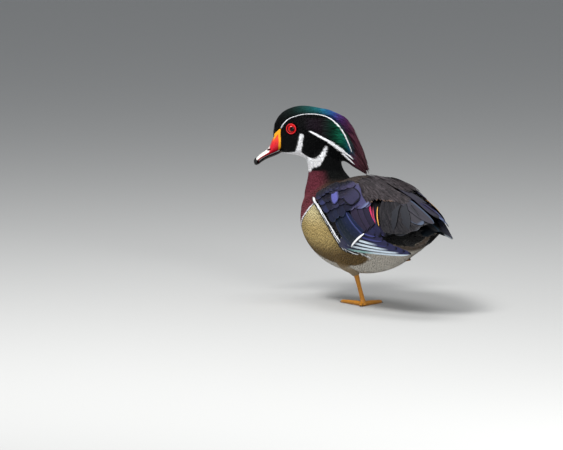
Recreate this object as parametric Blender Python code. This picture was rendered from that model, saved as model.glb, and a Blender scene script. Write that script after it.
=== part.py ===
"""Wood duck drake, life size, standing on one leg with its head turned to its left.

Metres, +Z up, floor at z = 0. The body heads along -Y and its left side faces +X.
Sizes below are in millimetres and become metres where a mesh is made.
"""

import math
import random

import bmesh
import bpy
from mathutils import Matrix, Vector

MM = 0.001
Z = Vector((0, 0, 1))
GAP = 0.3
INFLATE = 0.45

HEAD_TURN = math.radians(62)
HEAD_AXIS = Vector((math.sin(HEAD_TURN), -math.cos(HEAD_TURN), 0))
HEAD_SIDE = Vector((math.cos(HEAD_TURN), math.sin(HEAD_TURN), 0))
NECK_TOP = Vector((13, -78, 0))

EYE_RADIUS = 6.2
EYE_PLACE = (33.2, 13.3, 189.1)
LID_RADIUS = 5.7
LID_THICKNESS = 0.95
LID_OUT = 3.1
LID_TURN = math.radians(20)

NECK_CUT = 157
NECK_ROOT = 126
CREST_CUT = -4
TAIL_CUT = 124

NOSTRIL = (58.6, 9.6, 165.2)
NOSTRIL_SIZE = (2.5, 2.2, 1.1)
NAIL = (72.6, 0, 151.6)
NAIL_SIZE = (2.9, 4.2, 4.2)

ANKLE = Vector((21, 14.5, 38))
FOOT = Vector((12.5, 15.5, 6))

# The standing thigh's points from the ankle, and the radii of thigh and tarsus
THIGH_STEPS = [(6, -8, 20), (4, -4, 10), (1.5, -1, 3), (-0.6, 0.2, -3.5)]
THIGH_RADII = [17, 13, 8, 3.8]
TARSUS_RADII = [2.9, 2.4, 2.6]

# The leg that is folded up against the belly
RIGHT_THIGH = [(-36, -2, 68), (-39.5, 6, 62.5), (-41.8, 12, 58.5), (-42.5, 16, 55.5)]
RIGHT_THIGH_RADII = [15, 12, 8.5, 5]
RIGHT_TARSUS = [(-42.8, 9, 58), (-44.3, -4, 54.5), (-43.3, -17, 53)]
RIGHT_FOOT = [(-43.3, -18, 52.5), (-44.3, -7, 50), (-44.8, 8, 51), (-44.8, 20, 54)]
RIGHT_FOOT_RADII = [2.8, 3.6, 3.2, 0.8]

# Front toes from the outer to the inner one: turn in degrees, length with the claw
TOES = [(34, 44), (0, 49), (-34, 40)]
TOE_HEADING = -28
TOE_RADII = [2.6, 2.5, 2.1, 1.5, 0.5]
TOE_ENDS = (2, 14, 14, 5)
TOE_LIFT = 0.8
HEEL_HEIGHTS = (1, 5.4)
HEEL_RADII = [4.2, 2.9]
HIND_TOE = (165, 12)
HIND_RADII = [2, 1.6, 0.6]
HIND_HEIGHTS = (3.5, 2.8, 1.2)
WEB_REACH = 0.84
WEB_NOTCH = 0.86
WEB_LEVELS = (-0.6, 1.3)

# Sections of the trunk: y, half width, top, bottom, shift to the left
TRUNK = [
    (-104, 6, 105, 91, 6),
    (-98, 20, 121, 73, 5.5),
    (-84, 33, 129, 58, 4.5),
    (-64, 43.5, 132.5, 45.5, 3),
    (-38, 51, 135.5, 36, 1),
    (-5, 54.5, 142.5, 33, 0),
    (30, 52.5, 139, 38, 0),
    (60, 47, 132, 50.5, 0),
    (85, 39.5, 125, 61, 0),
    (108, 31, 117, 71, 0),
    (128, 22, 109, 79, 0),
    (142, 16, 103, 88, 0),
]

# Outer surface of the folded wings: y, half width, top, height of the widest line
WING_FORM = [
    (-60, 50, 142, 92),
    (-20, 58.5, 146, 90),
    (20, 60.5, 145, 88),
    (60, 57, 138, 86),
    (105, 45, 124, 83),
    (150, 30, 108, 79),
    (175, 22, 100, 77),
]

# Each wing's core as angles from the back's ridge: y, upper edge, lower edge
LEFT_WING_CORE = [
    (-33, 58, 66),
    (-20, 45, 74),
    (0, 34, 86),
    (30, 21, 97),
    (60, 13, 104),
    (90, 12, 96),
    (112, 20, 72),
]
RIGHT_WING_CORE = [
    (-33, 54, 62),
    (-20, 41, 70),
    (0, 29, 79),
    (30, 18, 85),
    (60, 12, 86),
    (90, 11, 70),
    (112, 18, 52),
]

# Rows of wing feathers: count, first and last root, first and last tip (y, angle),
# width, height at the root and at the tip
LEFT_WING_ROWS = {
    "primaries": (7, ((34, 103), (62, 82)), ((146, 109), (112, 87)), 12, (-4.4, -3.0)),
    "secondaries": (6, ((20, 92), (58, 52)), ((61, 109), (99, 76)), 15, (-3.4, -1.3)),
    "tertials": (5, ((54, 54), (42, 17)), ((115, 77), (152, 20)), 20, (-2.6, -0.6)),
    "greater_coverts": (5, ((2, 85), (46, 44)), ((33, 100), (74, 57)), 16, (-2.6, -0.3)),
    "median_coverts": (5, ((-16, 73), (26, 38)), ((12, 92), (52, 48)), 16, (-2.2, 0.5)),
    "lesser_coverts": (4, ((-29, 63), (2, 37)), ((-8, 78), (30, 43)), 18, (-1.8, 1.2)),
    "scapulars": (4, ((20, 36), (8, 14)), ((68, 44), (62, 16)), 17, (-1.8, 1.2)),
}
RIGHT_WING_ROWS = {
    "primaries": (7, ((34, 84), (62, 66)), ((147, 58), (114, 56)), 12, (-4.4, -3.0)),
    "secondaries": (6, ((20, 82), (58, 44)), ((64, 94), (104, 60)), 15, (-3.4, -1.3)),
    "tertials": (5, ((54, 46), (42, 17)), ((113, 56), (149, 19)), 20, (-2.6, -0.6)),
    "greater_coverts": (5, ((2, 77), (46, 36)), ((34, 88), (74, 46)), 16, (-2.6, -0.3)),
    "median_coverts": (5, ((-16, 68), (26, 33)), ((12, 80), (52, 40)), 16, (-2.2, 0.5)),
    "lesser_coverts": (4, ((-29, 59), (2, 33)), ((-8, 70), (30, 37)), 18, (-1.8, 1.2)),
    "scapulars": (4, ((20, 33), (8, 14)), ((68, 38), (62, 16)), 17, (-1.8, 1.2)),
}
CORE_OUTER = -1.7
CORE_INNER = -7.4
CORE_EDGE = 1.2
CORE_RINGS = (9, 6)

# Outline of a vane: share of its length, share of its width
LONG_VANE = [(0, 0.5), (0.45, 1), (0.85, 0.85), (1, 0.3)]
SHORT_VANE = [(0, 0.5), (0.5, 1), (0.85, 0.85), (1, 0.35)]
LOCK = [(0, 0.6), (0.4, 1), (0.78, 0.62), (1, 0.16)]
VANE_THICK = 0.7
SHINGLE = 0.18

# Rows of crest locks: count on each side, root and tip forward of the neck, first and
# last turn from the crown in degrees, width
CREST_ROWS = [
    (5, -7, -35, 14, 134, 10),
    (5, -22, -48, 15, 140, 8),
    (4, -35, -57, 20, 140, 6),
]
CREST_LIFTS = (-2.2, 0.6)
CREST_DEPTH = 1.2
CREST_DROOP = 0.85
CREST_TRAIL = 0.35

# The tail's core: y, half width, top, bottom
TAIL_CORE = [
    (TAIL_CUT + GAP, 21.5, 110, 79.5),
    (134, 18, 104, 85),
    (143, 12.5, 99.5, 90),
    (151, 5, 96.5, 92.5),
]
TAIL_TIP = 165
TAIL_HEIGHTS = (107, 95.5)
TAIL_STAGGER = 0.5
TAIL_VANE_WIDTH = 9

# Vanes of one half of the tail: count, root and its step, tip and its step (y, aside),
# heights at root and tip and their step, outline
TAIL_ROWS = [
    (6, (136, 1.2), (0, 1.2), (TAIL_TIP, 2.2), (-0.9, 1.6), (0, 0), (-1.05, -1.05), LONG_VANE),
    (3, (126, 2), (0, 4.5), (150, 2.8), (-2.5, 4), (-0.6, 1.8), (-1.2, -1.2), SHORT_VANE),
    (2, (127, 3), (0, 6), (153, 3), (-4, 5), (-24, -8.6), (3, 1), SHORT_VANE),
]

# Flank plumes along the wing's lower edge, as a row of feathers
FLANK_PLUMES = (5, ((-56, 76), (22, 126)), ((-34, 68), (44, 115)), 17, (-2.2, 0.7))

# Head and crest in profile: distance forward of the neck, top, bottom, half width
HEAD = [
    (54.6, 186, 179, 2.5),
    (52, 194, 170, 6),
    (47, 203, 163, 9.5),
    (39, 209.5, 160, 14),
    (26, 213.5, 158, 19),
    (12, 213, 153, 20.5),
    (-6, 209, 151, 19),
    (-16, 205, 152, 15.5),
    (-25, 200, 151.5, 12),
    (-34, 188, 146, 9),
    (-41, 171, 142, 6.5),
    (-46, 159, 139, 4.5),
    (-49.5, 146, 137, 2),
]

# Neck: height, shift forward along the head, half length, half width
NECK = [
    (98, -14, 32, 30),
    (115, -11, 31, 26),
    (130, -8.5, 25.5, 21.5),
    (142, -4.5, 20, 18),
    (157, -1, 19.5, 18),
    (166, 0, 20, 18),
]

# Upper half of the bill: distance forward of the neck, top, bottom, half width
BILL_UPPER = [
    (45.5, 188.5, 165.5, 10.2),
    (50, 184, 163, 10.3),
    (54.5, 177, 161, 10.1),
    (58, 168.5, 159.6, 9.8),
    (63, 163.5, 157.5, 9.8),
    (68, 160, 154.6, 9.9),
    (72, 156.3, 151.2, 8.2),
    (74.8, 152.5, 147.5, 3.6),
]

BILL_LOWER_DEPTH = 4.2
BILL_LOWER_SHORTER = 1.5
BILL_LOWER_NARROWER = 0.8

# Counts of rings and of points round each
TRUNK_RINGS = (19, 24)
NECK_RINGS = (7, 20)
HEAD_RINGS = (18, 20)
BILL_POINTS = 16
TAIL_RINGS = (7, 18)


def smooth(rows, at):
    """Values of the rows at one place, on a curve that runs through them all."""
    rows = sorted(rows)
    at = min(max(at, rows[0][0]), rows[-1][0])
    last = len(rows) - 1
    i = max(k for k in range(last) if rows[k][0] <= at)
    found = []
    span = rows[i + 1][0] - rows[i][0]
    t = (at - rows[i][0]) / span
    for column in range(1, len(rows[0])):
        slopes = []
        for k in (i, i + 1):
            before = rows[max(k - 1, 0)]
            after = rows[min(k + 1, last)]
            slopes.append((after[column] - before[column]) / (after[0] - before[0]))
        start = rows[i][column]
        end = rows[i + 1][column]
        value = start * (2 * t**3 - 3 * t**2 + 1) + end * (3 * t**2 - 2 * t**3)
        value += span * slopes[0] * (t**3 - 2 * t**2 + t)
        value += span * slopes[1] * (t**3 - t**2)
        found.append(value)
    return found


def clear_scene():
    for old in list(bpy.data.objects):
        bpy.data.objects.remove(old)


def new_collection(name):
    collection = bpy.data.collections.new(name)
    bpy.context.scene.collection.children.link(collection)
    return collection


def material(name, colour, roughness):
    made = bpy.data.materials.new(name)
    made.use_nodes = True
    shader = made.node_tree.nodes["Principled BSDF"]
    shader.inputs["Base Color"].default_value = (*colour, 1)
    shader.inputs["Roughness"].default_value = roughness
    shader.inputs["Metallic"].default_value = 0
    return made


def mesh_object(name, points, faces, paint=None, collection=None):
    """A closed mesh from points in millimetres, with its normals facing out."""
    mesh = bpy.data.meshes.new(name)
    mesh.from_pydata([tuple(c * MM for c in point) for point in points], [], faces)
    shape = bmesh.new()
    shape.from_mesh(mesh)
    bmesh.ops.triangulate(shape, faces=[f for f in shape.faces if len(f.verts) > 3])
    bmesh.ops.recalc_face_normals(shape, faces=shape.faces)
    shape.to_mesh(mesh)
    shape.free()
    made = bpy.data.objects.new(name, mesh)
    if paint:
        mesh.materials.append(paint)
    (collection or PARTS).objects.link(made)
    return made


def loft(name, rings, paint=None):
    """A closed skin over rings with the same count of points, with a point at each end."""
    count = len(rings[0])
    points = [point for ring in rings for point in ring]
    faces = []
    for k in range(len(rings) - 1):
        for j in range(count):
            a = k * count + j
            b = k * count + (j + 1) % count
            faces.append((a, b, b + count))
            faces.append((a, b + count, a + count))
    for start in (0, (len(rings) - 1) * count):
        centre = len(points)
        points.append(sum((points[start + j] for j in range(count)), Vector()) / count)
        for j in range(count):
            faces.append((start + j, start + (j + 1) % count, centre))
    return mesh_object(name, points, faces, paint)


def spread(start, end, count):
    return [start + (end - start) * k / (count - 1) for k in range(count)]


def trunk_point(y, angle, lift=0):
    """A point on the trunk: angle 0 is the back's ridge, a quarter turn the left side."""
    half, top, bottom, shift = smooth(TRUNK, y)
    middle = bottom + (top - bottom) * 0.47
    rise = (top - middle) if math.cos(angle) > 0 else (middle - bottom)
    x = shift + (half + lift) * math.sin(angle)
    return Vector((x, y, middle + (rise + lift) * math.cos(angle)))


def wing_point(y, angle, side, lift=0):
    """A point on the surface of the folded wings, for side 1 (left) or -1 (right)."""
    half, top, middle = smooth(WING_FORM, y)
    x = side * (half + lift) * math.sin(angle)
    return Vector((x, y, middle + (top - middle + lift) * math.cos(angle)))


def head_point(forward, aside, height):
    """A point of the head from its distances forward of the neck's top and aside."""
    flat = NECK_TOP + HEAD_AXIS * forward + HEAD_SIDE * aside
    return Vector((flat.x, flat.y, height))


def oval(place, half_wide, top, bottom, count, square=1.0):
    """A ring of points from a function place(aside, height)."""
    ring = []
    middle = (top + bottom) / 2
    for j in range(count):
        turn = 2 * math.pi * j / count
        aside = half_wide * math.copysign(abs(math.sin(turn)) ** square, math.sin(turn))
        height = middle + (top - bottom) / 2 * math.cos(turn)
        ring.append(place(aside, height))
    return ring


def vane(place, root, tip, width, lifts, shingle=0.0, outline=LONG_VANE, thick=VANE_THICK):
    """One flat feather from root to tip in the coordinates of place(u, v, lift).

    Both faces are split into the same triangles, so that they never cross."""
    centres = []
    ups = []
    for share, _ in outline:
        u = root[0] + (tip[0] - root[0]) * share
        v = root[1] + (tip[1] - root[1]) * share
        lift = lifts[0] + (lifts[1] - lifts[0]) * share
        centres.append(place(u, v, lift))
        ups.append((place(u, v, lift + 1) - centres[-1]).normalized())
    points = []
    last = len(outline) - 1
    for k, (_, share) in enumerate(outline):
        along = centres[min(k + 1, last)] - centres[max(k - 1, 0)]
        across = along.cross(ups[k]).normalized()
        up = across.cross(along).normalized()
        reach = across * width * share / 2
        rise = up * shingle * width * share / 2
        half = up * thick / 2 * (0.6 if k == last else 1)
        centre = centres[k]
        points.append(centre - reach - rise + half)
        points.append(centre + reach + rise + half)
        points.append(centre + reach + rise - half)
        points.append(centre - reach - rise - half)
    faces = [(0, 1, 2), (0, 2, 3)]
    for k in range(last):
        a = 4 * k
        b = a + 4
        for left, right in ((0, 1), (3, 2), (1, 2), (0, 3)):
            faces.append((a + left, a + right, b + right))
            faces.append((a + left, b + right, b + left))
    end = 4 * last
    faces += [(end, end + 1, end + 2), (end, end + 2, end + 3)]
    return mesh_object("vane", points, faces)


def vane_row(place, row, shingle=0.0, outline=LONG_VANE):
    """A row of like vanes between its first and its last one."""
    count, roots, tips, width, lifts = row
    made = []
    for k in range(count):
        share = k / (count - 1)
        root = [a + (b - a) * share for a, b in zip(*roots)]
        tip = [a + (b - a) * share for a, b in zip(*tips)]
        wide = width * RANDOM.uniform(0.95, 1.05)
        heights = (lifts[0], lifts[1] - RANDOM.uniform(0, 0.25))
        made.append(vane(place, root, tip, wide, heights, shingle, outline))
    return made


def grown(source, by=INFLATE):
    """A copy pushed out along its normals by millimetres, to cut room for the source."""
    made = source.copy()
    made.data = source.data.copy()
    made.name = source.name + "_room"
    CUTTERS.objects.link(made)
    made.hide_render = True
    made.display_type = "WIRE"
    shape = bmesh.new()
    shape.from_mesh(made.data)
    shape.normal_update()
    moves = [(vert, vert.normal.copy()) for vert in shape.verts]
    for vert, normal in moves:
        vert.co += normal * by * MM
    shape.to_mesh(made.data)
    shape.free()
    return made


def apply_boolean(target, operation, operand, solver="EXACT"):
    """Applies one Boolean with an object or a collection and removes what was used."""
    change = target.modifiers.new(operation.lower(), "BOOLEAN")
    change.operation = operation
    change.solver = solver
    if isinstance(operand, bpy.types.Collection):
        change.operand_type = "COLLECTION"
        change.collection = operand
        used = list(operand.objects)
    else:
        change.object = operand
        used = [operand]
    bpy.context.view_layer.update()
    graph = bpy.context.evaluated_depsgraph_get()
    result = bpy.data.meshes.new_from_object(target.evaluated_get(graph))
    target.modifiers.clear()
    target.data = result
    for old in used:
        bpy.data.objects.remove(old)
    keep_largest(target)


def cut_room(target, *neighbours):
    """Cuts a gap's room for each neighbour out of the target."""
    for neighbour in neighbours:
        apply_boolean(target, "DIFFERENCE", grown(neighbour))


def keep_largest(target):
    """Leaves only the largest closed surface of a mesh."""
    shape = bmesh.new()
    shape.from_mesh(target.data)
    islands = []
    seen = set()
    for face in shape.faces:
        if face in seen:
            continue
        island = []
        waiting = [face]
        seen.add(face)
        while waiting:
            here = waiting.pop()
            island.append(here)
            for edge in here.edges:
                for other in edge.link_faces:
                    if other not in seen:
                        seen.add(other)
                        waiting.append(other)
        islands.append(island)
    islands.sort(key=lambda island: sum(face.calc_area() for face in island))
    loose = [face for island in islands[:-1] for face in island]
    bmesh.ops.delete(shape, geom=loose, context="FACES")
    shape.to_mesh(target.data)
    shape.free()


def slice_off(target, point, normal):
    """Removes what lies past a plane, on the side that its normal points to."""
    shape = bmesh.new()
    shape.from_mesh(target.data)
    bmesh.ops.bisect_plane(
        shape,
        geom=shape.verts[:] + shape.edges[:] + shape.faces[:],
        plane_co=Vector(point) * MM,
        plane_no=Vector(normal),
        clear_outer=True,
    )
    rim = [edge for edge in shape.edges if edge.is_boundary]
    bmesh.ops.contextual_create(shape, geom=rim)
    bmesh.ops.triangulate(shape, faces=[f for f in shape.faces if len(f.verts) > 3])
    bmesh.ops.recalc_face_normals(shape, faces=shape.faces)
    shape.to_mesh(target.data)
    shape.free()


def make_trunk():
    rings = []
    count, around = TRUNK_RINGS
    for y in spread(TRUNK[0][0], TAIL_CUT, count):
        rings.append([trunk_point(y, 2 * math.pi * j / around) for j in range(around)])
    return loft("torso", rings, PAINTS["flank"])


def add_flank_plumes(torso):
    """The long flank feathers that end along each wing's lower edge."""
    plumes = []
    for side in (1, -1):
        plumes += vane_row(
            lambda y, angle, lift: trunk_point(y, side * math.radians(angle), lift),
            FLANK_PLUMES,
            -SHINGLE * side,
            SHORT_VANE,
        )
    unite(torso, plumes)


def make_neck():
    rings = []
    count, around = NECK_RINGS
    for height in spread(NECK[0][0], NECK[-1][0], count):
        forward, long_half, wide_half = smooth(NECK, height)
        ring = []
        for j in range(around):
            turn = 2 * math.pi * j / around
            along = forward + long_half * math.cos(turn)
            ring.append(head_point(along, wide_half * math.sin(turn), height))
        rings.append(ring)
    return loft("neck", rings, PAINTS["chestnut"])


def headform_point(forward, turn, lift=0):
    """A point on the head and crest: turn in degrees from the crown to the near side."""
    place = max(forward, HEAD[-1][0])
    top, bottom, half = smooth(HEAD, place)
    middle = (top + bottom) / 2
    angle = math.radians(turn)
    past = place - forward
    flat = math.copysign(abs(math.sin(angle)) ** 0.9, math.sin(angle))
    aside = (half + lift) * flat
    height = middle + ((top - bottom) / 2 + lift) * math.cos(angle) - past * CREST_DROOP
    return head_point(place - past * CREST_TRAIL, aside, height)


def make_headform(name, paint, lift=0):
    rings = []
    count, around = HEAD_RINGS
    for forward in spread(HEAD[-1][0], HEAD[0][0], count):
        rings.append([headform_point(forward, 360 * j / around, lift) for j in range(around)])
    return loft(name, rings, paint)


def make_crest(head_cut, neck):
    """The crest's core with rows of flat locks that lie back along it."""
    crest = make_headform("crest", PAINTS["crest"], -CREST_DEPTH)
    slice_off(crest, head_cut - HEAD_AXIS * GAP / 2, HEAD_AXIS)
    locks = []
    for count, root, tip, first, last, width in CREST_ROWS:
        for side in (1, -1):
            for k in range(count):
                turn = side * (first + (last - first) * k / (count - 1))
                end = (tip + RANDOM.uniform(-2, 2), turn)
                wide = width * RANDOM.uniform(0.9, 1.1)
                locks.append(vane(headform_point, (root, turn), end, wide, CREST_LIFTS, 0, LOCK))
    unite(crest, locks)
    cut_room(crest, neck)
    return crest


def make_bill(name, paint, rows, count):
    rings = []
    for forward in spread(rows[0][0], rows[-1][0], count):
        top, bottom, half = smooth(rows, forward)
        rings.append(
            oval(lambda a, h: head_point(forward, a, h), half, top, bottom, BILL_POINTS, 0.85)
        )
    return loft(name, rings, paint)


def ball(name, place, size, paint, rings=6):
    """An oval ball of the head: its place and half sizes forward, aside and up."""
    bpy.ops.mesh.primitive_uv_sphere_add(segments=12, ring_count=rings, radius=1)
    made = adopt(bpy.context.object, name, paint)
    turn = Matrix((HEAD_AXIS, HEAD_SIDE, (0, 0, 1))).transposed().to_4x4()
    sizes = Matrix.Diagonal((*[value * MM for value in size], 1))
    made.data.transform(Matrix.Translation(head_point(*place) * MM) @ turn @ sizes)
    return made


def finish_upper_bill(upper):
    """Adds the nail at the bill's tip and cuts the two nostrils."""
    unite(upper, [ball("nail", NAIL, NAIL_SIZE, PAINTS["bill"])])
    forward, aside, height = NOSTRIL
    for side in (1, -1):
        hole = ball("nostril", (forward, side * aside, height), NOSTRIL_SIZE, PAINTS["bill"])
        apply_boolean(upper, "DIFFERENCE", hole)


def lower_bill_rows():
    """The lower half follows the upper one's edge, a little shorter and narrower."""
    rows = []
    for forward, _, edge, half in BILL_UPPER[:-1]:
        top = edge - GAP - 0.1
        half -= BILL_LOWER_NARROWER
        rows.append((forward - BILL_LOWER_SHORTER, top, top - BILL_LOWER_DEPTH, half))
    return rows


def make_eye(name, side):
    forward, aside, height = EYE_PLACE
    centre = head_point(forward, side * aside, height) * MM
    bpy.ops.mesh.primitive_uv_sphere_add(
        segments=16,
        ring_count=8,
        radius=EYE_RADIUS * MM,
        location=centre,
        rotation=(HEAD_SIDE * side).to_track_quat("Z", "Y").to_euler(),
    )
    return adopt(bpy.context.object, name, PAINTS["iris"])


def adopt(made, name, paint):
    """Names a primitive, applies its place and moves it to the parts."""
    made.name = name
    made.data.name = name
    made.data.transform(made.matrix_world)
    made.matrix_world.identity()
    made.data.materials.clear()
    made.data.materials.append(paint)
    for collection in list(made.users_collection):
        collection.objects.unlink(made)
    PARTS.objects.link(made)
    return made


def make_lid(side):
    """The ring of bare skin round an eye."""
    forward, aside, height = EYE_PLACE
    out = HEAD_SIDE * side * math.cos(LID_TURN) + HEAD_AXIS * math.sin(LID_TURN)
    place = head_point(forward, side * aside, height) + out * LID_OUT
    bpy.ops.mesh.primitive_torus_add(
        major_radius=LID_RADIUS * MM,
        minor_radius=LID_THICKNESS * MM,
        major_segments=10,
        minor_segments=5,
        location=place * MM,
        rotation=out.to_track_quat("Z", "Y").to_euler(),
    )
    return adopt(bpy.context.object, "lid", PAINTS["head"])


def make_wing(name, side, edges, rows, torso):
    """One folded wing: a core on the body's side and its feathers in overlapping rows."""
    rings = []
    count, across_count = CORE_RINGS
    for y in spread(edges[0][0], edges[-1][0], count):
        upper, lower = smooth(edges, y)
        outer_row = []
        inner_row = []
        for across in spread(0, 1, across_count):
            angle = math.radians(upper + (lower - upper) * across)
            swell = math.sin(math.pi * across) ** 0.4
            depth = CORE_EDGE + (CORE_OUTER - CORE_INNER - CORE_EDGE) * swell
            outer_row.append(wing_point(y, angle, side, CORE_OUTER))
            inner_row.append(wing_point(y, angle, side, CORE_OUTER - depth))
        rings.append(outer_row + inner_row[::-1])
    wing = loft(name, rings, PAINTS["wing"])
    cut_room(wing, torso)
    feathers = []
    for kind, row in rows.items():
        outline = LONG_VANE if kind in ("primaries", "secondaries", "tertials") else SHORT_VANE
        feathers += vane_row(
            lambda y, angle, lift: wing_point(y, math.radians(angle), side, lift),
            row,
            SHINGLE * side,
            outline,
        )
    unite(wing, feathers)
    return wing


def tail_point(y, aside, lift=0):
    """A point over the fan of the tail, whose middle feathers lie highest."""
    share = (y - TAIL_CUT) / (TAIL_TIP - TAIL_CUT)
    height = TAIL_HEIGHTS[0] + (TAIL_HEIGHTS[1] - TAIL_HEIGHTS[0]) * share
    return Vector((aside, y, height + lift))


def make_tail():
    """The rump's end with the closed fan of tail feathers and the coverts over and under it."""
    rings = []
    count, around = TAIL_RINGS
    for y in spread(TAIL_CORE[0][0], TAIL_CORE[-1][0], count):
        half, top, bottom = smooth(TAIL_CORE, y)
        rings.append(oval(lambda a, h: Vector((a, y, h)), half, top, bottom, around))
    tail = loft("tail", rings, PAINTS["tail"])
    feathers = []
    for side in (1, -1):
        stagger = TAIL_STAGGER if side < 0 else 0
        for count, root, root_step, tip, tip_step, lifts, lift_step, outline in TAIL_ROWS:
            for k in range(count):
                start = (root[0] + root_step[0] * k, side * (root[1] + root_step[1] * k))
                end = (tip[0] + tip_step[0] * k, side * (tip[1] + tip_step[1] * k))
                heights = [lift + step * k - stagger for lift, step in zip(lifts, lift_step)]
                feathers.append(
                    vane(tail_point, start, end, TAIL_VANE_WIDTH, heights, 0, outline)
                )
    unite(tail, feathers)


def tube(name, path, radii, paint, sides=12):
    """A round limb along a path of points."""
    path = [Vector(point) for point in path]
    rings = []
    for k, here in enumerate(path):
        ahead = path[min(k + 1, len(path) - 1)] - path[max(k - 1, 0)]
        across = ahead.cross(Vector((0.3, 1, 0.1))).normalized()
        other = ahead.cross(across).normalized()
        ring = []
        for j in range(sides):
            turn = 2 * math.pi * j / sides
            ring.append(here + (across * math.cos(turn) + other * math.sin(turn)) * radii[k])
        rings.append(ring)
    return loft(name, rings, paint)


def unite(base, pieces):
    """Joins closed pieces to a base with one Boolean union."""
    joined = new_collection("joined")
    for piece in pieces:
        for collection in list(piece.users_collection):
            collection.objects.unlink(piece)
        joined.objects.link(piece)
    apply_boolean(base, "UNION", joined, "MANIFOLD")
    bpy.data.collections.remove(joined)


def toe_tip(root, turn, length):
    heading = math.radians(TOE_HEADING + turn)
    return root + Vector((math.sin(heading), -math.cos(heading), 0)) * length


def make_toe(root, tip):
    """A front toe, low enough to be cut flat at the floor."""
    behind, near, far, claw = TOE_ENDS
    along = (tip - root).normalized()
    path = [root - along * behind, root + along * near, tip - along * far, tip - along * claw, tip]
    lifted = [point + Z * radius * TOE_LIFT for point, radius in zip(path, TOE_RADII)]
    return tube("toe", lifted, TOE_RADII, PAINTS["foot"], 10)


def make_web(root, tips):
    """The skin between the front toes, with a notched front edge."""
    outline = [root - (tips[1] - root).normalized()]
    for k in range(len(tips) - 1):
        first = root + (tips[k] - root) * WEB_REACH
        second = root + (tips[k + 1] - root) * WEB_REACH
        notch = root + ((first + second) / 2 - root) * WEB_NOTCH
        outline += [first, notch] if k == 0 else [first, notch, second]
    low, high = [[point + Z * level for point in outline] for level in WEB_LEVELS]
    count = len(outline)
    sides = [(j, (j + 1) % count, count + (j + 1) % count, count + j) for j in range(count)]
    caps = [tuple(range(count)), tuple(range(2 * count - 1, count - 1, -1))]
    return mesh_object("web", low + high, sides + caps, PAINTS["foot"])


def make_foot(name, foot):
    """Three webbed toes and a hind toe, flat on the floor."""
    root = Vector((foot.x, foot.y, 0))
    tips = [toe_tip(root, turn, length) for turn, length in TOES]
    base = tube(name, [root + Z * height for height in HEEL_HEIGHTS], HEEL_RADII, PAINTS["foot"])
    hind = toe_tip(root, *HIND_TOE)
    path = [root + (hind - root) * k / 2 + Z * HIND_HEIGHTS[k] for k in range(3)]
    pieces = [make_toe(root, tip) for tip in tips]
    pieces.append(make_web(root, tips))
    pieces.append(tube("hind", path, HIND_RADII, PAINTS["foot"], 8))
    unite(base, pieces)
    slice_off(base, (0, 0, 0), (0, 0, -1))
    return base


def make_left_leg():
    """Feathered thigh, bare tarsus and flat foot of the standing leg."""
    path = [ANKLE + Vector(step) for step in THIGH_STEPS]
    thigh = tube("thigh_left", path, THIGH_RADII, PAINTS["flank"], 16)
    shank = tube("shank_left", [ANKLE, (ANKLE + FOOT) / 2, FOOT], TARSUS_RADII, PAINTS["foot"])
    return thigh, shank, make_foot("foot_left", FOOT)


def make_right_leg():
    """The other leg, folded up against the belly."""
    thigh = tube("thigh_right", RIGHT_THIGH, RIGHT_THIGH_RADII, PAINTS["flank"], 16)
    shank = tube("shank_right", RIGHT_TARSUS, TARSUS_RADII, PAINTS["foot"])
    foot = tube("foot_right", RIGHT_FOOT, RIGHT_FOOT_RADII, PAINTS["foot"])
    return thigh, shank, foot


def centre_on_origin():
    """Moves every part so that the whole stands on the origin by the middle of its box."""
    corners = [vert.co for part in PARTS.objects for vert in part.data.vertices]
    low = [min(corner[axis] for corner in corners) for axis in range(3)]
    high = [max(corner[axis] for corner in corners) for axis in range(3)]
    middle = Vector(((low[0] + high[0]) / 2, (low[1] + high[1]) / 2, 0))
    for part in PARTS.objects:
        part.data.transform(Matrix.Translation(-middle))


def twin(source, collection):
    """A copy with a mesh of its own."""
    made = source.copy()
    made.data = source.data.copy()
    collection.objects.link(made)
    return made


def make_body():
    """Trunk with the neck's root, and the neck above it; also a bare trunk to cut with."""
    torso = make_trunk()
    bare = twin(torso, CUTTERS)
    bare.hide_render = True
    bare.display_type = "WIRE"
    neck = make_neck()
    neck_root = twin(neck, PARTS)
    slice_off(neck_root, (0, 0, NECK_ROOT), Z)
    slice_off(neck, (0, 0, NECK_ROOT + GAP), -Z)
    slice_off(neck, (0, 0, NECK_CUT - GAP), Z)
    cut_room(neck, torso)
    unite(torso, [neck_root])
    return torso, bare, neck


def make_head(neck):
    """Head with lids, eyes and bill, and the crest behind it."""
    cut = head_point(CREST_CUT, 0, 0)
    head = make_headform("head", PAINTS["head"])
    slice_off(head, cut + HEAD_AXIS * GAP / 2, -HEAD_AXIS)
    slice_off(head, (0, 0, NECK_CUT), -Z)
    make_crest(cut, neck)
    unite(head, [make_lid(1), make_lid(-1)])
    cut_room(head, make_eye("eye_left", 1), make_eye("eye_right", -1))
    upper = make_bill("bill_upper", PAINTS["bill"], BILL_UPPER, 10)
    finish_upper_bill(upper)
    lower = make_bill("bill_lower", PAINTS["bill_dark"], lower_bill_rows(), 8)
    cut_room(lower, upper)
    cut_room(head, upper, lower)


def build():
    torso, bare, neck = make_body()
    make_head(neck)
    make_tail()
    make_wing("wing_left", 1, LEFT_WING_CORE, LEFT_WING_ROWS, bare)
    make_wing("wing_right", -1, RIGHT_WING_CORE, RIGHT_WING_ROWS, bare)
    bpy.data.objects.remove(bare)
    thigh, shank, foot = make_left_leg()
    cut_room(thigh, torso)
    cut_room(shank, torso, thigh, foot)
    thigh, shank, foot = make_right_leg()
    cut_room(thigh, torso)
    cut_room(shank, torso, thigh)
    cut_room(foot, torso, thigh, shank)
    add_flank_plumes(torso)
    centre_on_origin()


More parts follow.
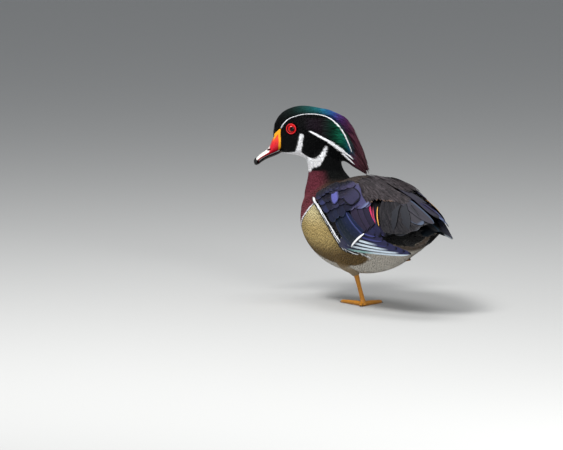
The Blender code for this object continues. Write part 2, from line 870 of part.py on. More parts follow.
clear_scene()
RANDOM = random.Random(7)
PARTS = new_collection("wood_duck")
CUTTERS = new_collection("cutters")
PAINTS = {
    "head": material("head_green", (0.012, 0.035, 0.03), 0.35),
    "crest": material("crest_purple", (0.06, 0.025, 0.09), 0.35),
    "chestnut": material("breast_chestnut", (0.2, 0.045, 0.04), 0.6),
    "flank": material("flank_tan", (0.45, 0.32, 0.13), 0.7),
    "wing": material("wing_blue", (0.04, 0.04, 0.1), 0.4),
    "tail": material("tail_black", (0.015, 0.015, 0.018), 0.5),
    "bill": material("bill_red", (0.7, 0.08, 0.07), 0.35),
    "bill_dark": material("bill_black", (0.02, 0.02, 0.02), 0.4),
    "iris": material("eye_red", (0.7, 0.02, 0.01), 0.15),
    "foot": material("foot_orange", (0.65, 0.3, 0.03), 0.5),
}
build()
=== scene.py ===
"""Looks of a life-size wood duck drake that stands on one leg with its head turned.

Shapes are worked out in millimetres, in the design's own frame: the body heads along -Y,
its left side faces +X and the floor is z = 0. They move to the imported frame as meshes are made.
"""

import math

import bmesh
import bpy
import numpy as np
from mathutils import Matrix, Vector
from mathutils.bvhtree import BVHTree


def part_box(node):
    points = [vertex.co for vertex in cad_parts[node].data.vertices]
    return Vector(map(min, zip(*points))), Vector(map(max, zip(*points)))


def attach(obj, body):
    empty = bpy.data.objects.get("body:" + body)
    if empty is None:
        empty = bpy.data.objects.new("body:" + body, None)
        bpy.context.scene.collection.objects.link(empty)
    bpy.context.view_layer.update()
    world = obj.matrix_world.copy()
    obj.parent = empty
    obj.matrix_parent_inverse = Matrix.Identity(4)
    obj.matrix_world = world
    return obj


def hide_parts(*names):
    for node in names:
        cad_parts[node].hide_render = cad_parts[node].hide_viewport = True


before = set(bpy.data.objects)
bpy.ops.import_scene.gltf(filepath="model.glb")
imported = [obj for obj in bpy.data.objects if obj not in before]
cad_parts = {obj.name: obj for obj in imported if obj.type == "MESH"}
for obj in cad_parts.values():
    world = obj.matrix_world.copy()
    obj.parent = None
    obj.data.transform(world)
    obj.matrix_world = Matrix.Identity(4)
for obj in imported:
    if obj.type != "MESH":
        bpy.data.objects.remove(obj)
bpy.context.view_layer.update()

MM = 0.001
RANDOM = np.random.default_rng(11)

# The head is turned from the body's heading; its axes are forward and aside
HEAD_TURN = math.radians(62)
HEAD_AXIS = np.array([math.sin(HEAD_TURN), -math.cos(HEAD_TURN), 0])
HEAD_SIDE = np.array([math.cos(HEAD_TURN), math.sin(HEAD_TURN), 0])
NECK_TOP = np.array([13, -78, 0])
EYE_PLACE = (33.2, 13.3, 189.1)

# The camera stands far behind the bird's left side, a little above it
VIEW_AZIMUTH = math.radians(152)
VIEW_HEIGHT = math.radians(6)
VIEW_DISTANCE = 8.0
MM_PER_PIXEL = 1.1
PHOTO_SIZE = (563, 450)
GROUND_PIXEL = (366, 304)
SENSOR_WIDTH = 36

# Sections of the trunk: y, half width, top, bottom, shift to the left
TRUNK = [
    (-104, 6, 105, 91, 6),
    (-98, 20, 121, 73, 5.5),
    (-84, 33, 129, 58, 4.5),
    (-64, 43.5, 132.5, 45.5, 3),
    (-38, 51, 135.5, 36, 1),
    (-5, 54.5, 142.5, 33, 0),
    (30, 52.5, 139, 38, 0),
    (60, 47, 132, 50.5, 0),
    (85, 39.5, 125, 61, 0),
    (108, 31, 117, 71, 0),
    (128, 22, 109, 79, 0),
    (142, 16, 103, 88, 0),
]

# Outer surface of the folded wings: y, half width, top, height of the widest line
WING_FORM = [
    (-60, 50, 142, 92),
    (-20, 58.5, 146, 90),
    (20, 60.5, 145, 88),
    (60, 57, 138, 86),
    (105, 45, 124, 83),
    (150, 30, 108, 79),
    (175, 22, 100, 77),
]

# Each wing's arm as angles from the back's ridge: y, upper edge, lower edge
LEFT_ARM = [
    (-33, 58, 66), (-20, 45, 74), (0, 34, 86), (30, 21, 97), (60, 13, 104), (90, 12, 96), (112, 20, 72),
]
RIGHT_ARM = [
    (-33, 54, 62), (-20, 41, 70), (0, 29, 79), (30, 18, 85), (60, 12, 86), (90, 11, 70), (112, 18, 52),
]

# Head and crest in profile: distance forward of the neck, top, bottom, half width
HEAD = [
    (54.6, 186, 179, 2.5),
    (52, 194, 170, 6),
    (47, 203, 163, 9.5),
    (39, 209.5, 160, 14),
    (26, 213.5, 158, 19),
    (12, 213, 153, 20.5),
    (-6, 209, 151, 19),
    (-16, 205, 152, 15.5),
    (-25, 200, 151.5, 12),
    (-34, 188, 146, 9),
    (-41, 171, 142, 6.5),
    (-46, 159, 139, 4.5),
    (-49.5, 146, 137, 2),
]
# How far the crest goes down and back for each millimetre beyond its last section
CREST_DROOP = 0.85
CREST_TRAIL = 0.35

# Neck: height, shift forward along the head, half length, half width
NECK = [
    (98, -14, 32, 30),
    (115, -11, 31, 26),
    (130, -8.5, 25.5, 21.5),
    (142, -4.5, 20, 18),
    (157, -1, 19.5, 18),
    (166, 0, 20, 18),
]

# Upper half of the bill: distance forward of the neck, top, bottom, half width
BILL_UPPER = [
    (45.5, 188.5, 165.5, 10.2),
    (50, 184, 163, 10.3),
    (54.5, 177, 161, 10.1),
    (58, 168.5, 159.6, 9.8),
    (63, 163.5, 157.5, 9.8),
    (68, 160, 154.6, 9.9),
    (72, 156.3, 151.2, 8.2),
    (74.8, 152.5, 147.5, 3.6),
]

# The tail's core: y, half width, top, bottom
TAIL_CORE = [(118, 24, 112, 74), (134, 18, 104, 85), (143, 12.5, 99.5, 90), (151, 5, 96.5, 92.5)]


def unit(vectors):
    return vectors / np.maximum(np.linalg.norm(vectors, axis=-1, keepdims=True), 1e-9)


def ease(value, low, high):
    """From 0 below low to 1 above high, smoothly."""
    share = np.clip((value - low) / (high - low), 0, 1)
    return share * share * (3 - 2 * share)


def rgb(red, green, blue):
    """A linear colour from the usual 0 to 255 values."""
    values = np.array([red, green, blue]) / 255
    return np.where(values <= 0.04045, values / 12.92, ((values + 0.055) / 1.055) ** 2.4)


def blend(first, second, share):
    share = np.asarray(share)[..., None]
    return first * (1 - share) + second * share


def layered(colour, *layers):
    """A colour with others laid over it, each with its share."""
    for other, share in layers:
        colour = blend(colour, other, share)
    return colour


def over(value, soft):
    """Whether a value is over 0, with a soft edge."""
    return ease(value, -soft, soft)


def wrapped(angle):
    """An angle in degrees between -180 and 180."""
    return (angle + 180) % 360 - 180


def signed_power(value, power):
    return np.sign(value) * np.abs(value) ** power


def varied(rough, *shape):
    """Random factors near 1."""
    return RANDOM.uniform(1 - rough, 1 + rough, shape)


def distances(points):
    """How far along a path each of its points is."""
    return np.concatenate([[0], np.cumsum(np.linalg.norm(np.diff(points, axis=0), axis=1))])


class Track:
    """Values on a smooth curve through rows of (place, value, value, ...)."""

    def __init__(self, rows):
        rows = np.array(rows, float)
        self.rows = rows[np.argsort(rows[:, 0])]
        steps = np.arange(len(self.rows))
        before = np.maximum(steps - 1, 0)
        after = np.minimum(steps + 1, len(steps) - 1)
        run = (self.rows[after, 0] - self.rows[before, 0])[:, None]
        self.slopes = (self.rows[after, 1:] - self.rows[before, 1:]) / run

    def __call__(self, at):
        rows = self.rows
        at = np.clip(np.asarray(at, float), rows[0, 0], rows[-1, 0])
        i = np.clip(np.searchsorted(rows[:, 0], at, side="right") - 1, 0, len(rows) - 2)
        span = (rows[i + 1, 0] - rows[i, 0])[..., None]
        t = (at - rows[i, 0])[..., None] / span
        value = rows[i, 1:] * (2 * t**3 - 3 * t**2 + 1) + rows[i + 1, 1:] * (3 * t**2 - 2 * t**3)
        value += span * self.slopes[i] * (t**3 - 2 * t**2 + t) + span * self.slopes[i + 1] * (t**3 - t**2)
        return np.moveaxis(value, -1, 0)


TRUNK_TRACK = Track(TRUNK)
WING_TRACK = Track(WING_FORM)
HEAD_TRACK = Track(HEAD)
NECK_TRACK = Track(NECK)
TAIL_TRACK = Track(TAIL_CORE)
BILL_TRACK = Track(BILL_UPPER)


def round_section(y, angle, half, rise, middle, shift=0):
    """Points of a section across the body: angle in degrees from the top to the left."""
    turn = np.radians(angle)
    across = shift + half * np.sin(turn)
    return np.stack([across, y + 0 * across, middle + rise * np.cos(turn)], -1)


# Share of the trunk's height at which it is widest
WAIST = 0.47


def trunk_at(y, angle, lift=0.0):
    """Points on the trunk: angle in degrees from the back's ridge to the left."""
    half, top, bottom, shift = TRUNK_TRACK(y)
    middle = bottom + (top - bottom) * WAIST
    rise = np.where(np.cos(np.radians(angle)) > 0, top - middle, middle - bottom)
    return round_section(y, angle, half + lift, rise + lift, middle, shift)


def wing_at(y, angle, lift=0.0):
    """Points on the folded wings: positive angles on the left, negative on the right."""
    half, top, middle = WING_TRACK(y)
    return round_section(y, angle, half + lift, top - middle + lift, middle)


def head_point(forward, aside, height):
    forward = np.asarray(forward, float)[..., None]
    aside = np.asarray(aside, float)[..., None]
    point = NECK_TOP + HEAD_AXIS * forward + HEAD_SIDE * aside
    return point + np.array([0, 0, 1]) * np.asarray(height, float)[..., None]


def head_at(forward, turn, lift=0.0):
    """Points on head and crest: turn in degrees from the crown to the near side."""
    place = np.maximum(forward, HEAD[-1][0])
    top, bottom, half = HEAD_TRACK(place)
    middle = (top + bottom) / 2
    angle = np.radians(turn)
    past = place - forward
    flat = signed_power(np.sin(angle), 0.9)
    height = middle + ((top - bottom) / 2 + lift) * np.cos(angle) - past * CREST_DROOP
    return head_point(place - past * CREST_TRAIL, (half + lift) * flat, height)


def neck_at(height, turn, lift=0.0):
    """Points on the neck: turn in degrees from its front to the near side."""
    forward, long_half, wide_half = NECK_TRACK(height)
    angle = np.radians(turn)
    along = forward + (long_half + lift) * np.cos(angle)
    return head_point(along, (wide_half + lift) * np.sin(angle), height + 0 * along)


def tail_at(y, angle, lift=0.0):
    """Points on the tail's root."""
    half, top, bottom = TAIL_TRACK(y)
    return round_section(y, angle, half + lift, (top - bottom) / 2 + lift, (top + bottom) / 2)


LOW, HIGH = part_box("eye_left")
EYE_IN_ROW = np.array((LOW + HIGH) / 2) / MM
SHIFT = EYE_IN_ROW - head_point(*EYE_PLACE)


def to_row(points):
    """Points of the design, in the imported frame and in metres."""
    return (np.asarray(points, float) + SHIFT) * MM


def make_object(name, points, faces):
    """A smooth mesh from arrays: points in millimetres and triangles."""
    mesh = bpy.data.meshes.new(name)
    mesh.vertices.add(len(points))
    mesh.vertices.foreach_set("co", to_row(points).astype(np.float32).ravel())
    mesh.loops.add(len(faces) * 3)
    mesh.loops.foreach_set("vertex_index", np.asarray(faces, np.int32).ravel())
    mesh.polygons.add(len(faces))
    mesh.polygons.foreach_set("loop_start", np.arange(len(faces), dtype=np.int32) * 3)
    mesh.update(calc_edges=True)
    mesh.validate()
    mesh.shade_smooth()
    made = bpy.data.objects.new(name, mesh)
    bpy.context.scene.collection.objects.link(made)
    return made


def read_mesh(mesh):
    """Points of the design and triangles of a mesh."""
    co = np.zeros(len(mesh.vertices) * 3, np.float32)
    mesh.vertices.foreach_get("co", co)
    loops = np.zeros(len(mesh.loops), np.int32)
    mesh.loops.foreach_get("vertex_index", loops)
    return co.reshape(-1, 3) / MM - SHIFT, loops.reshape(-1, 3)


def add_layers(made, tint, gloss, vane=(0, 0, 0)):
    """What the materials read, as attributes of the points."""
    mesh = made.data
    count = len(mesh.vertices)
    tint = np.broadcast_to(np.clip(tint, 0, 1), (count, 3))
    for name, kind, key, values in (
        ("tint", "FLOAT_COLOR", "color", np.column_stack([tint, np.ones(count)])),
        ("gloss", "FLOAT", "value", np.reshape(gloss, (-1, 1))),
        ("vane", "FLOAT_VECTOR", "vector", vane),
    ):
        values = np.broadcast_to(values, (count, np.shape(values)[-1])).astype(np.float32)
        mesh.attributes.new(name, kind, "POINT").data.foreach_set(key, values.ravel())


def add_map(made, places):
    """The OFBake map, from a place for each corner of the triangles."""
    layer = made.data.uv_layers.new(name="OFBake")
    layer.data.foreach_set("uv", places.astype(np.float32).ravel())


def finish_piece(made, paint, replaced=()):
    """Gives a piece its material and its body, and hides the nodes that it replaces."""
    made.data.materials.append(paint)
    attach(made, "root")
    if replaced:
        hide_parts(*replaced)


def joined(parts):
    """One array of points, one of triangles and one of each further column from several parts."""
    points, faces, *others = zip(*parts)
    starts = np.cumsum([0] + [len(part) for part in points[:-1]])
    faces = [part + start for part, start in zip(faces, starts)]
    return [np.concatenate(column) for column in (points, faces, *others)]


def outward(points, faces):
    """The faces with their fronts outside."""
    a, b, c = points[faces[:, 0]], points[faces[:, 1]], points[faces[:, 2]]
    volume = np.sum(a * np.cross(b, c))
    return faces if volume > 0 else faces[:, ::-1]


def ring_faces(count, around, closed=False):
    """Triangles between rings of points; closed joins the last ring to the first."""
    k, j = np.meshgrid(np.arange(count if closed else count - 1), np.arange(around), indexing="ij")
    here, ahead = k * around, (k + 1) % count * around
    following = (j + 1) % around
    a, b, c, d = here + j, here + following, ahead + following, ahead + j
    return np.concatenate([np.stack(corners, -1).reshape(-1, 3) for corners in ((a, b, c), (a, c, d))])


def tube_mesh(rings):
    """Points and triangles of a closed skin over rings with the same count of points."""
    rings = np.asarray(rings, float)
    count, around = rings.shape[:2]
    points = np.concatenate([rings.reshape(-1, 3), rings[[0, -1]].mean(1)])
    ring = np.arange(around)
    following = (ring + 1) % around
    ends = 0 * ring + count * around
    last = (count - 1) * around
    caps = [np.stack([following, ring, ends], 1), np.stack([last + ring, last + following, ends + 1], 1)]
    return points, outward(points, np.concatenate([ring_faces(count, around), *caps]))


def turns(around):
    """Angles in degrees all round, evenly spread."""
    return np.arange(around) * 360 / around


def grid_tube(surface, start, stop, count, around, lift):
    """A closed tube over a surface(place, angle, lift)."""
    place, angle = np.meshgrid(np.linspace(start, stop, count), turns(around), indexing="ij")
    return tube_mesh(surface(place, angle, lift))


# Unwrap of the skin: each region's box in the map (left, bottom, width, height) and its span
REGIONS = {
    "trunk": ((0.01, 0.01, 0.98, 0.5), (-104, 150)),
    "head": ((0.01, 0.53, 0.55, 0.45), (-60, 56)),
    "neck": ((0.58, 0.53, 0.41, 0.2), (95, 168)),
    "leg": ((0.58, 0.75, 0.41, 0.22), (0, 60)),
}
# Size of a tuft's patch in the map
PATCH = 0.003


def unwrap(region, place, angle):
    """The place in the map of a point at an angle in degrees and a place along its region."""
    (left, bottom, width, height), (start, stop) = REGIONS[region]
    along = np.clip((place - start) / (stop - start), 0, 1)
    return np.stack([left + (angle / 360 + 0.5) * width, bottom + along * height], -1)


class Vane:
    """The mesh pattern of one feather: sections of an outline and columns across it."""

    def __init__(self, outline, across):
        self.outline = np.array(outline, float)
        across = np.array(across, float)
        bulge = (1 - across**2) / 2
        count, ring = len(outline), 2 * len(across) - 2
        self.section = np.repeat(np.arange(count), ring)
        self.side = np.tile(np.concatenate([across, across[-2:0:-1]]), count)
        self.bulge = np.tile(np.concatenate([bulge, -bulge[-2:0:-1]]), count)
        j = np.arange(1, ring - 1)
        root = np.stack([0 * j, j + 1, j], 1)
        end = np.stack([0 * j, j, j + 1], 1) + (count - 1) * ring
        self.faces = np.concatenate([ring_faces(count, ring), root, end])
        self.share, self.width = self.outline[self.section].T


# Places across a feather at which its sections have points
NARROW = (-1, 0, 1)
BROAD = (-1, -0.6, 0, 0.6, 1)
FULL = (-1, -0.92, -0.8, -0.6, -0.5, 0, 0.5, 0.6, 0.8, 0.92, 1)
TUFT = Vane([(0, 0.55), (0.5, 1), (1, 0.25)], NARROW)
SCALE = Vane([(0, 0.5), (0.45, 1), (0.82, 0.82), (1, 0.25)], NARROW)
STRAND = Vane([(0, 0.6), (0.2, 1), (0.45, 0.95), (0.7, 0.7), (0.88, 0.4), (1, 0.1)], NARROW)
PLUME = Vane([(0, 0.5), (0.25, 0.95), (0.5, 1), (0.75, 0.85), (0.9, 0.55), (1, 0.12)], BROAD)
COVERT = Vane(
    [(0, 0.55), (0.15, 0.8), (0.35, 0.97), (0.55, 1), (0.7, 0.97), (0.82, 0.86), (0.9, 0.7), (0.96, 0.46),
     (1, 0.15)],
    FULL,
)
FLIGHT = Vane(
    [(0, 0.45), (0.12, 0.75), (0.25, 0.92), (0.4, 1), (0.55, 1), (0.68, 0.97), (0.78, 0.9), (0.86, 0.78),
     (0.92, 0.62), (0.96, 0.44), (0.99, 0.24), (1, 0.1)],
    FULL,
)
SQUARE = Vane(
    [(0, 0.6), (0.12, 0.85), (0.3, 0.97), (0.5, 1), (0.7, 1), (0.86, 1), (0.93, 1), (0.958, 0.99),
     (0.968, 0.98), (0.99, 0.93), (1, 0.8)],
    FULL,
)


def lay(coat, place, roots, tips, widths, lifts, pattern, paint, region="trunk", *, side=1, thick=0.25,
        radius=60, tilt=0, gloss=0.3, bars=0, jitter=0):
    """Adds a batch of feathers to a coat, from roots to tips in the coordinates of place(u, v).

    place returns points and the way up. lifts are heights at root, middle and tip.
    paint(share, side, number, points) returns colours. side is 1 on the left and -1 on the right,
    radius is how round the feathers are, tilt raises their lower edge."""
    roots, tips = np.asarray(roots, float), np.asarray(tips, float)
    count, verts = len(roots), len(pattern.section)
    widths = np.broadcast_to(np.asarray(widths, float), count)
    share = pattern.outline[:, 0][None]
    spots = roots[:, None] + (tips - roots)[:, None] * share[..., None]
    centres, ups = place(spots[..., 0], spots[..., 1])
    low, middle, high = np.broadcast_to(np.asarray(lifts, float), (count, 3)).T[..., None]
    heights = low + (middle - low) * np.clip(share * 2, 0, 1) + (high - middle) * np.clip(share * 2 - 1, 0, 1)
    heights = heights + jitter * RANDOM.uniform(-1, 1, (count, 1))
    centres = centres + ups * heights[..., None]
    along = unit(np.gradient(centres, axis=1))
    across = unit(np.cross(along, ups)) * side
    ups = unit(np.cross(across, along)) * side
    shift = widths[:, None] * pattern.width[None] / 2 * pattern.side[None]
    rise = thick * pattern.bulge[None] * np.minimum(pattern.width[None] * 1.5, 1) - shift**2 / (2 * radius)
    rise = rise + tilt * shift
    k = pattern.section
    points = centres[:, k] + across[:, k] * shift[..., None] + ups[:, k] * rise[..., None]
    number = np.arange(count)[:, None]
    tint = np.broadcast_to(paint(pattern.share[None], pattern.side[None], number, points), points.shape)
    lengths = np.linalg.norm(np.diff(centres, axis=1), axis=-1).sum(1)[:, None]
    vane = np.stack([shift, lengths * pattern.share[None], bars + 0 * shift], -1)
    spot = unwrap(region, roots[:, 0], wrapped(roots[:, 1]))[:, None]
    patch = np.stack([pattern.side / 2, pattern.share - 0.5], -1)[None] * PATCH
    single = pattern.faces if side > 0 else pattern.faces[:, ::-1]
    coat.append((
        points.reshape(-1, 3),
        (single[None] + (number * verts)[..., None]).reshape(-1, 3),
        tint.reshape(-1, 3),
        np.broadcast_to(gloss, shift.shape).reshape(-1),
        vane.reshape(-1, 3),
        (spot + patch).reshape(-1, 2),
    ))


def build_coat(name, coat, paint, replaced=()):
    """Makes one piece of all the feathers of a coat."""
    points, faces, tint, gloss, vane, bake = joined(coat)
    made = make_object(name, points, faces)
    add_layers(made, tint, gloss, vane)
    add_map(made, bake[read_mesh(made.data)[1].ravel()])
    finish_piece(made, paint, replaced)


def facing(surface):
    """place(u, v) for lay() straight on a surface."""

    def place(u, v):
        points = surface(u, v, 0.0)
        return points, unit(surface(u, v, 1.0) - points)

    return place


# Marks of the head in profile: forward of the neck, height, half the mark's width
BROW = [
    (45.6, 188.4, 0.5), (43, 192.8, 0.4), (38.5, 197.4, 0.33), (34.4, 199.7, 0.28), (28.5, 201.5, 0.2),
    (21.2, 203.4, 0.12), (12, 203.8, 0.2), (4.7, 203.2, 0.34), (-2.6, 201.8, 0.52), (-8.9, 198.8, 0.8),
    (-15.3, 193.7, 1.2), (-20.8, 187.3, 1.35), (-25.4, 180, 1.25), (-29, 171.7, 0.95), (-31.3, 166.6, 0.7),
    (-32.6, 162, 0.4),
]
EYE_STREAK = [
    (13.9, 184.6, 0.8), (6.6, 180.9, 1.1), (0.2, 177.2, 1.3), (-7.1, 173.6, 1.65), (-13.5, 169, 2.1),
    (-19.9, 164.4, 2.35), (-24.5, 160.5, 1.9),
]
STREAK_ENDS = [
    [(-22.5, 163.2, 1.2), (-29, 158.4, 1.1), (-34.6, 154, 0.8)],
    [(-22.6, 160.3, 1.2), (-29, 153.9, 1.1), (-36.4, 148.5, 0.7)],
]
CHEEK_FINGER = [(23, 179.8, 2.2), (24.6, 169.9, 2.5), (26.6, 161.6, 3.5)]
CHIN = [(44.5, 161.2, 0.7), (36.7, 160.3, 1.2), (30.3, 159.6, 2.6)]
COLLAR = [
    (26.6, 161.2, 2.7), (21.2, 156.6, 2.9), (13, 149.6, 5.1), (5.7, 150.2, 4.4), (0.6, 156.1, 3.0),
    (-2.6, 162.6, 2.0), (-3.6, 167.6, 1.2),
]
THROAT = [(14, 149, 4.5), (13.6, 141.5, 1.6)]

BLACK = rgb(4, 5, 6)
WHITE = rgb(248, 249, 252)
LINE_SHRINK = 0.1
# How much lower each millimetre beside the head's middle looks from the camera
SIDE_DROP = 0.105
# The stretch over the brow's line where the crown's colours lie, forward of the neck
CROWN_FRONT = 47
CREST_BACK = -31


def near_line(s, h, line):
    """Distance past the edge of a thick line, and on which side."""
    line = np.array(line, float)
    best = np.full(np.shape(s), np.inf)
    side = np.zeros(np.shape(s))
    for a, b in zip(line, line[1:]):
        step = b[:2] - a[:2]
        t = np.clip(((s - a[0]) * step[0] + (h - a[1]) * step[1]) / (step @ step), 0, 1)
        away = np.hypot(s - a[0] - t * step[0], h - a[1] - t * step[1])
        past = away - (a[2] + (b[2] - a[2]) * t)
        nearer = past < best
        best = np.where(nearer, past, best)
        side = np.where(nearer, np.sign(step[0] * (h - a[1]) - step[1] * (s - a[0])), side)
    return best, side


def profile_of(points):
    """Forward, height and aside of points in the head's frame, as the side view shows them."""
    away = points - NECK_TOP
    s = away @ HEAD_AXIS
    aside = away @ HEAD_SIDE
    return s, points[..., 2] - SIDE_DROP * np.abs(aside), aside


CROWN_HUES = [
    (54, *rgb(6, 9, 8)), (42, *rgb(8, 14, 13)), (30, *rgb(10, 32, 29)), (16, *rgb(15, 66, 64)),
    (5, *rgb(20, 92, 102)), (-4, *rgb(28, 94, 134)), (-11, *rgb(48, 66, 142)), (-18, *rgb(72, 46, 108)),
    (-26, *rgb(76, 38, 68)), (-36, *rgb(78, 42, 54)), (-46, *rgb(74, 46, 50)), (-60, *rgb(80, 58, 60)),
]
SIDE_HUES = [
    (40, *rgb(5, 6, 6)), (22, *rgb(8, 8, 10)), (12, *rgb(24, 17, 25)), (0, *rgb(20, 19, 22)),
    (-8, *rgb(10, 44, 34)), (-18, *rgb(14, 84, 62)), (-26, *rgb(18, 80, 80)), (-33, *rgb(30, 50, 112)),
    (-46, *rgb(62, 40, 78)),
]
CROWN_TRACK = Track(CROWN_HUES)
SIDE_TRACK = Track(SIDE_HUES)
# Where the green of the head's side ends, in front and above
SIDE_FRONT = 26
SIDE_TOP = 199


def hue(track, at):
    return np.clip(np.moveaxis(track(at), 0, -1), 0, 1)


def head_colour(points, lines=True):
    """Colour of head, crest and upper neck, with or without the white lines."""
    s, h, _ = profile_of(points)
    brow_past, brow_side = near_line(s, h, BROW)
    above = ((brow_side < 0) | (s < CREST_BACK)) & (s < CROWN_FRONT)
    streak_past, streak_side = near_line(s, h, EYE_STREAK + STREAK_ENDS[0][1:])
    # painted sheen: the crown is painted brighter towards its top and darker near the brow line
    crown = hue(CROWN_TRACK, s) * (0.35 + 0.9 * ease(brow_past, 0.3, 6))[..., None]
    crest = hue(SIDE_TRACK, s) * (0.45 + 0.75 * ease(streak_past, 0.5, 5))[..., None]
    colour = np.where(above[..., None], crown, BLACK)
    between = ~above & (streak_side < 0) & (s < SIDE_FRONT) & (h < SIDE_TOP)
    colour = np.where(between[..., None], blend(BLACK, crest, ease(-s, -SIDE_FRONT, -14)), colour)
    patches = (CHEEK_FINGER, CHIN, COLLAR, THROAT)
    for line in (BROW, EYE_STREAK, *STREAK_ENDS, *patches) if lines else patches:
        past = near_line(s, h, line)[0] + (LINE_SHRINK if line is BROW else 0)
        colour = blend(colour, WHITE, over(-past, 0.25))
    return colour


def neck_colour(points):
    """Colour of the neck: black above, chestnut in front and brown behind below."""
    s, h, _ = profile_of(points)
    upper = head_colour(points)
    low = ease(-h, -142, -118)
    ahead = s * (1 - low) - (points[..., 1] + 78) * low
    front = blend(rgb(104, 44, 56), rgb(128, 60, 68), ease(-h, -125, -105))
    back = blend(rgb(12, 14, 13), rgb(66, 50, 42), ease(-h, -134, -122))
    lower = blend(back, front, ease(ahead, -8 - 18 * low, 6 - 18 * low))
    return blend(lower, upper, ease(h, 139.5, 142.5))


# Marks on the trunk as rows of (angle from the back's ridge, y)
BREAST_EDGE = Track([
    (0, -22), (30, -26), (50, -33), (58, -40), (70, -50), (84, -62), (100, -71), (114, -72), (128, -66),
    (145, -52), (180, -44),
])
FLANK_TOP = Track([
    (0, -60), (50, -50), (58, -35), (64, -20), (78, 6), (88, 21), (98, 28), (106, 32), (118, 37), (126, 50),
    (140, 56), (150, 60), (180, 70),
])
# The belly's edge and the rump's edge, as rows of (y, angle)
BELLY_EDGE = Track([
    (-104, 116), (-64, 124), (-32, 129), (4, 139), (26, 144), (52, 145), (60, 132), (70, 108), (84, 104),
    (150, 100),
])
RUMP_EDGE = Track([(40, 106), (70, 114), (90, 122), (102, 132), (112, 156), (130, 168), (150, 170)])
# How wide the black and white of the bar beside the breast are, and those of the band behind the flank
BREAST_BAR = 2.2
BREAST_WHITE = 3.2
BAND_WHITE = 6.0
BAND_BLACK = 1.6


def band_share(angle):
    """How wide the flank's band is; it narrows towards the belly."""
    return 1 - 0.55 * ease(angle, 112, 126)


def trunk_colour(y, angle):
    """Colour of breast, flank, belly, back and rump."""
    a = np.abs(wrapped(angle))
    ahead = BREAST_EDGE(a)[0] - y
    above = y - FLANK_TOP(a)[0]
    below = a - BELLY_EDGE(y)[0]
    past = a - RUMP_EDGE(y)[0]
    chestnut = layered(
        rgb(74, 54, 46),
        (blend(rgb(92, 40, 48), rgb(122, 60, 68), ease(a, 40, 85)), ease(a, 22, 50)),
        (rgb(206, 196, 184), ease(a, 128, 146)),
    )
    # gold of the flank, darker towards the belly: partly its own colour, partly painted shade of the
    # underside
    gold = layered(
        rgb(206, 194, 148), (rgb(170, 148, 96), ease(a, 62, 92)), (rgb(104, 84, 52), ease(a, 98, 126))
    )
    # the white belly, a little darker towards the tail: painted shade of the underside
    belly = blend(rgb(208, 203, 193), rgb(184, 178, 168), ease(y, 10, 80))
    side = ease(a, 44, 50) * ease(-a, -148, -142)
    white = BAND_WHITE * band_share(a)
    black = BAND_BLACK * band_share(a)
    on_bar = ease(a, 50, 60) * ease(-a, -134, -122)
    start = 0.4 + (BREAST_WHITE - 0.4) * on_bar
    return layered(
        gold,
        (belly, ease(below, -1, 3)),
        (BLACK, side * over(above + black, 0.3) * ease(white + black - above, 0, 1)),
        (WHITE, side * over(above, 0.3) * over(white - above, 0.3)),
        (rgb(34, 31, 33), ease(above, white + black - 0.8, white + black) * ease(-below, -1, 2)),
        (rgb(66, 58, 54), ease(-a, -64, -52) * ease(y, -36, -20)),
        (rgb(2, 2, 3), ease(y, 58, 74) * over(-past, 3)),
        (rgb(84, 72, 62), ease(y, 88, 104) * over(past, 3)),
        (BLACK, on_bar * over(ahead + BREAST_BAR, 0.4)),
        (WHITE, on_bar * over(ahead, 0.4)),
        (chestnut, over(ahead - start, 0.4)),
    )


def trunk_angle(points):
    """Angle of points round the trunk, in degrees from the back's ridge."""
    half, top, bottom, shift = TRUNK_TRACK(points[..., 1])
    middle = bottom + (top - bottom) * WAIST
    rise = np.where(points[..., 2] > middle, top - middle, middle - bottom)
    return np.degrees(np.arctan2((points[..., 0] - shift) / half, (points[..., 2] - middle) / rise))


def body_colour(points):
    """Colour of trunk and neck, blended where they meet."""
    trunk = trunk_colour(points[..., 1], trunk_angle(points))
    share = ease(points[..., 2], 122, 132) * ease(-points[..., 1], 34, 46)
    return blend(trunk, neck_colour(points), share)


def path_track(path, radii):
    """A smooth curve of (x, y, z, radius) by the distance along a path, and the path's length."""
    path = np.array(path, float)
    place = distances(path)
    return Track(np.column_stack([place, path, radii])), place[-1]


def round_ring(centres, along, angle, radius):
    """Points round a path, at an angle in degrees."""
    across = unit(np.cross(along, [0.3, 1, 0.1]))
    other = unit(np.cross(along, across))
    turn = np.radians(np.asarray(angle, float))[..., None]
    return centres + (across * np.cos(turn) + other * np.sin(turn)) * np.asarray(radius, float)[..., None]


class Limb:
    """A round limb along a path: surface(place in millimetres, angle, lift)."""

    def __init__(self, path, radii):
        self.track, self.length = path_track(path, radii)

    def __call__(self, place, angle, lift=0.0):
        place = np.asarray(place, float)
        here = self.track(place)
        ahead = self.track(np.minimum(place + 0.5, self.length)) - self.track(np.maximum(place - 0.5, 0))
        along = unit(np.moveaxis(ahead[:3], 0, -1))
        return round_ring(np.moveaxis(here[:3], 0, -1), along, angle, here[3] + lift)


ANKLE = np.array([21, 14.5, 38])
FOOT = np.array([12.5, 15.5, 6])
THIGH_LEFT = Limb(ANKLE + [(6, -8, 20), (4, -4, 10), (1.5, -1, 3), (-0.6, 0.2, -3.5)], [17, 13, 8, 3.8])
THIGH_RIGHT = Limb([(-36, -2, 68), (-39.5, 6, 62.5), (-41.8, 12, 58.5), (-42.5, 16, 55.5)], [15, 12, 8.5, 5])


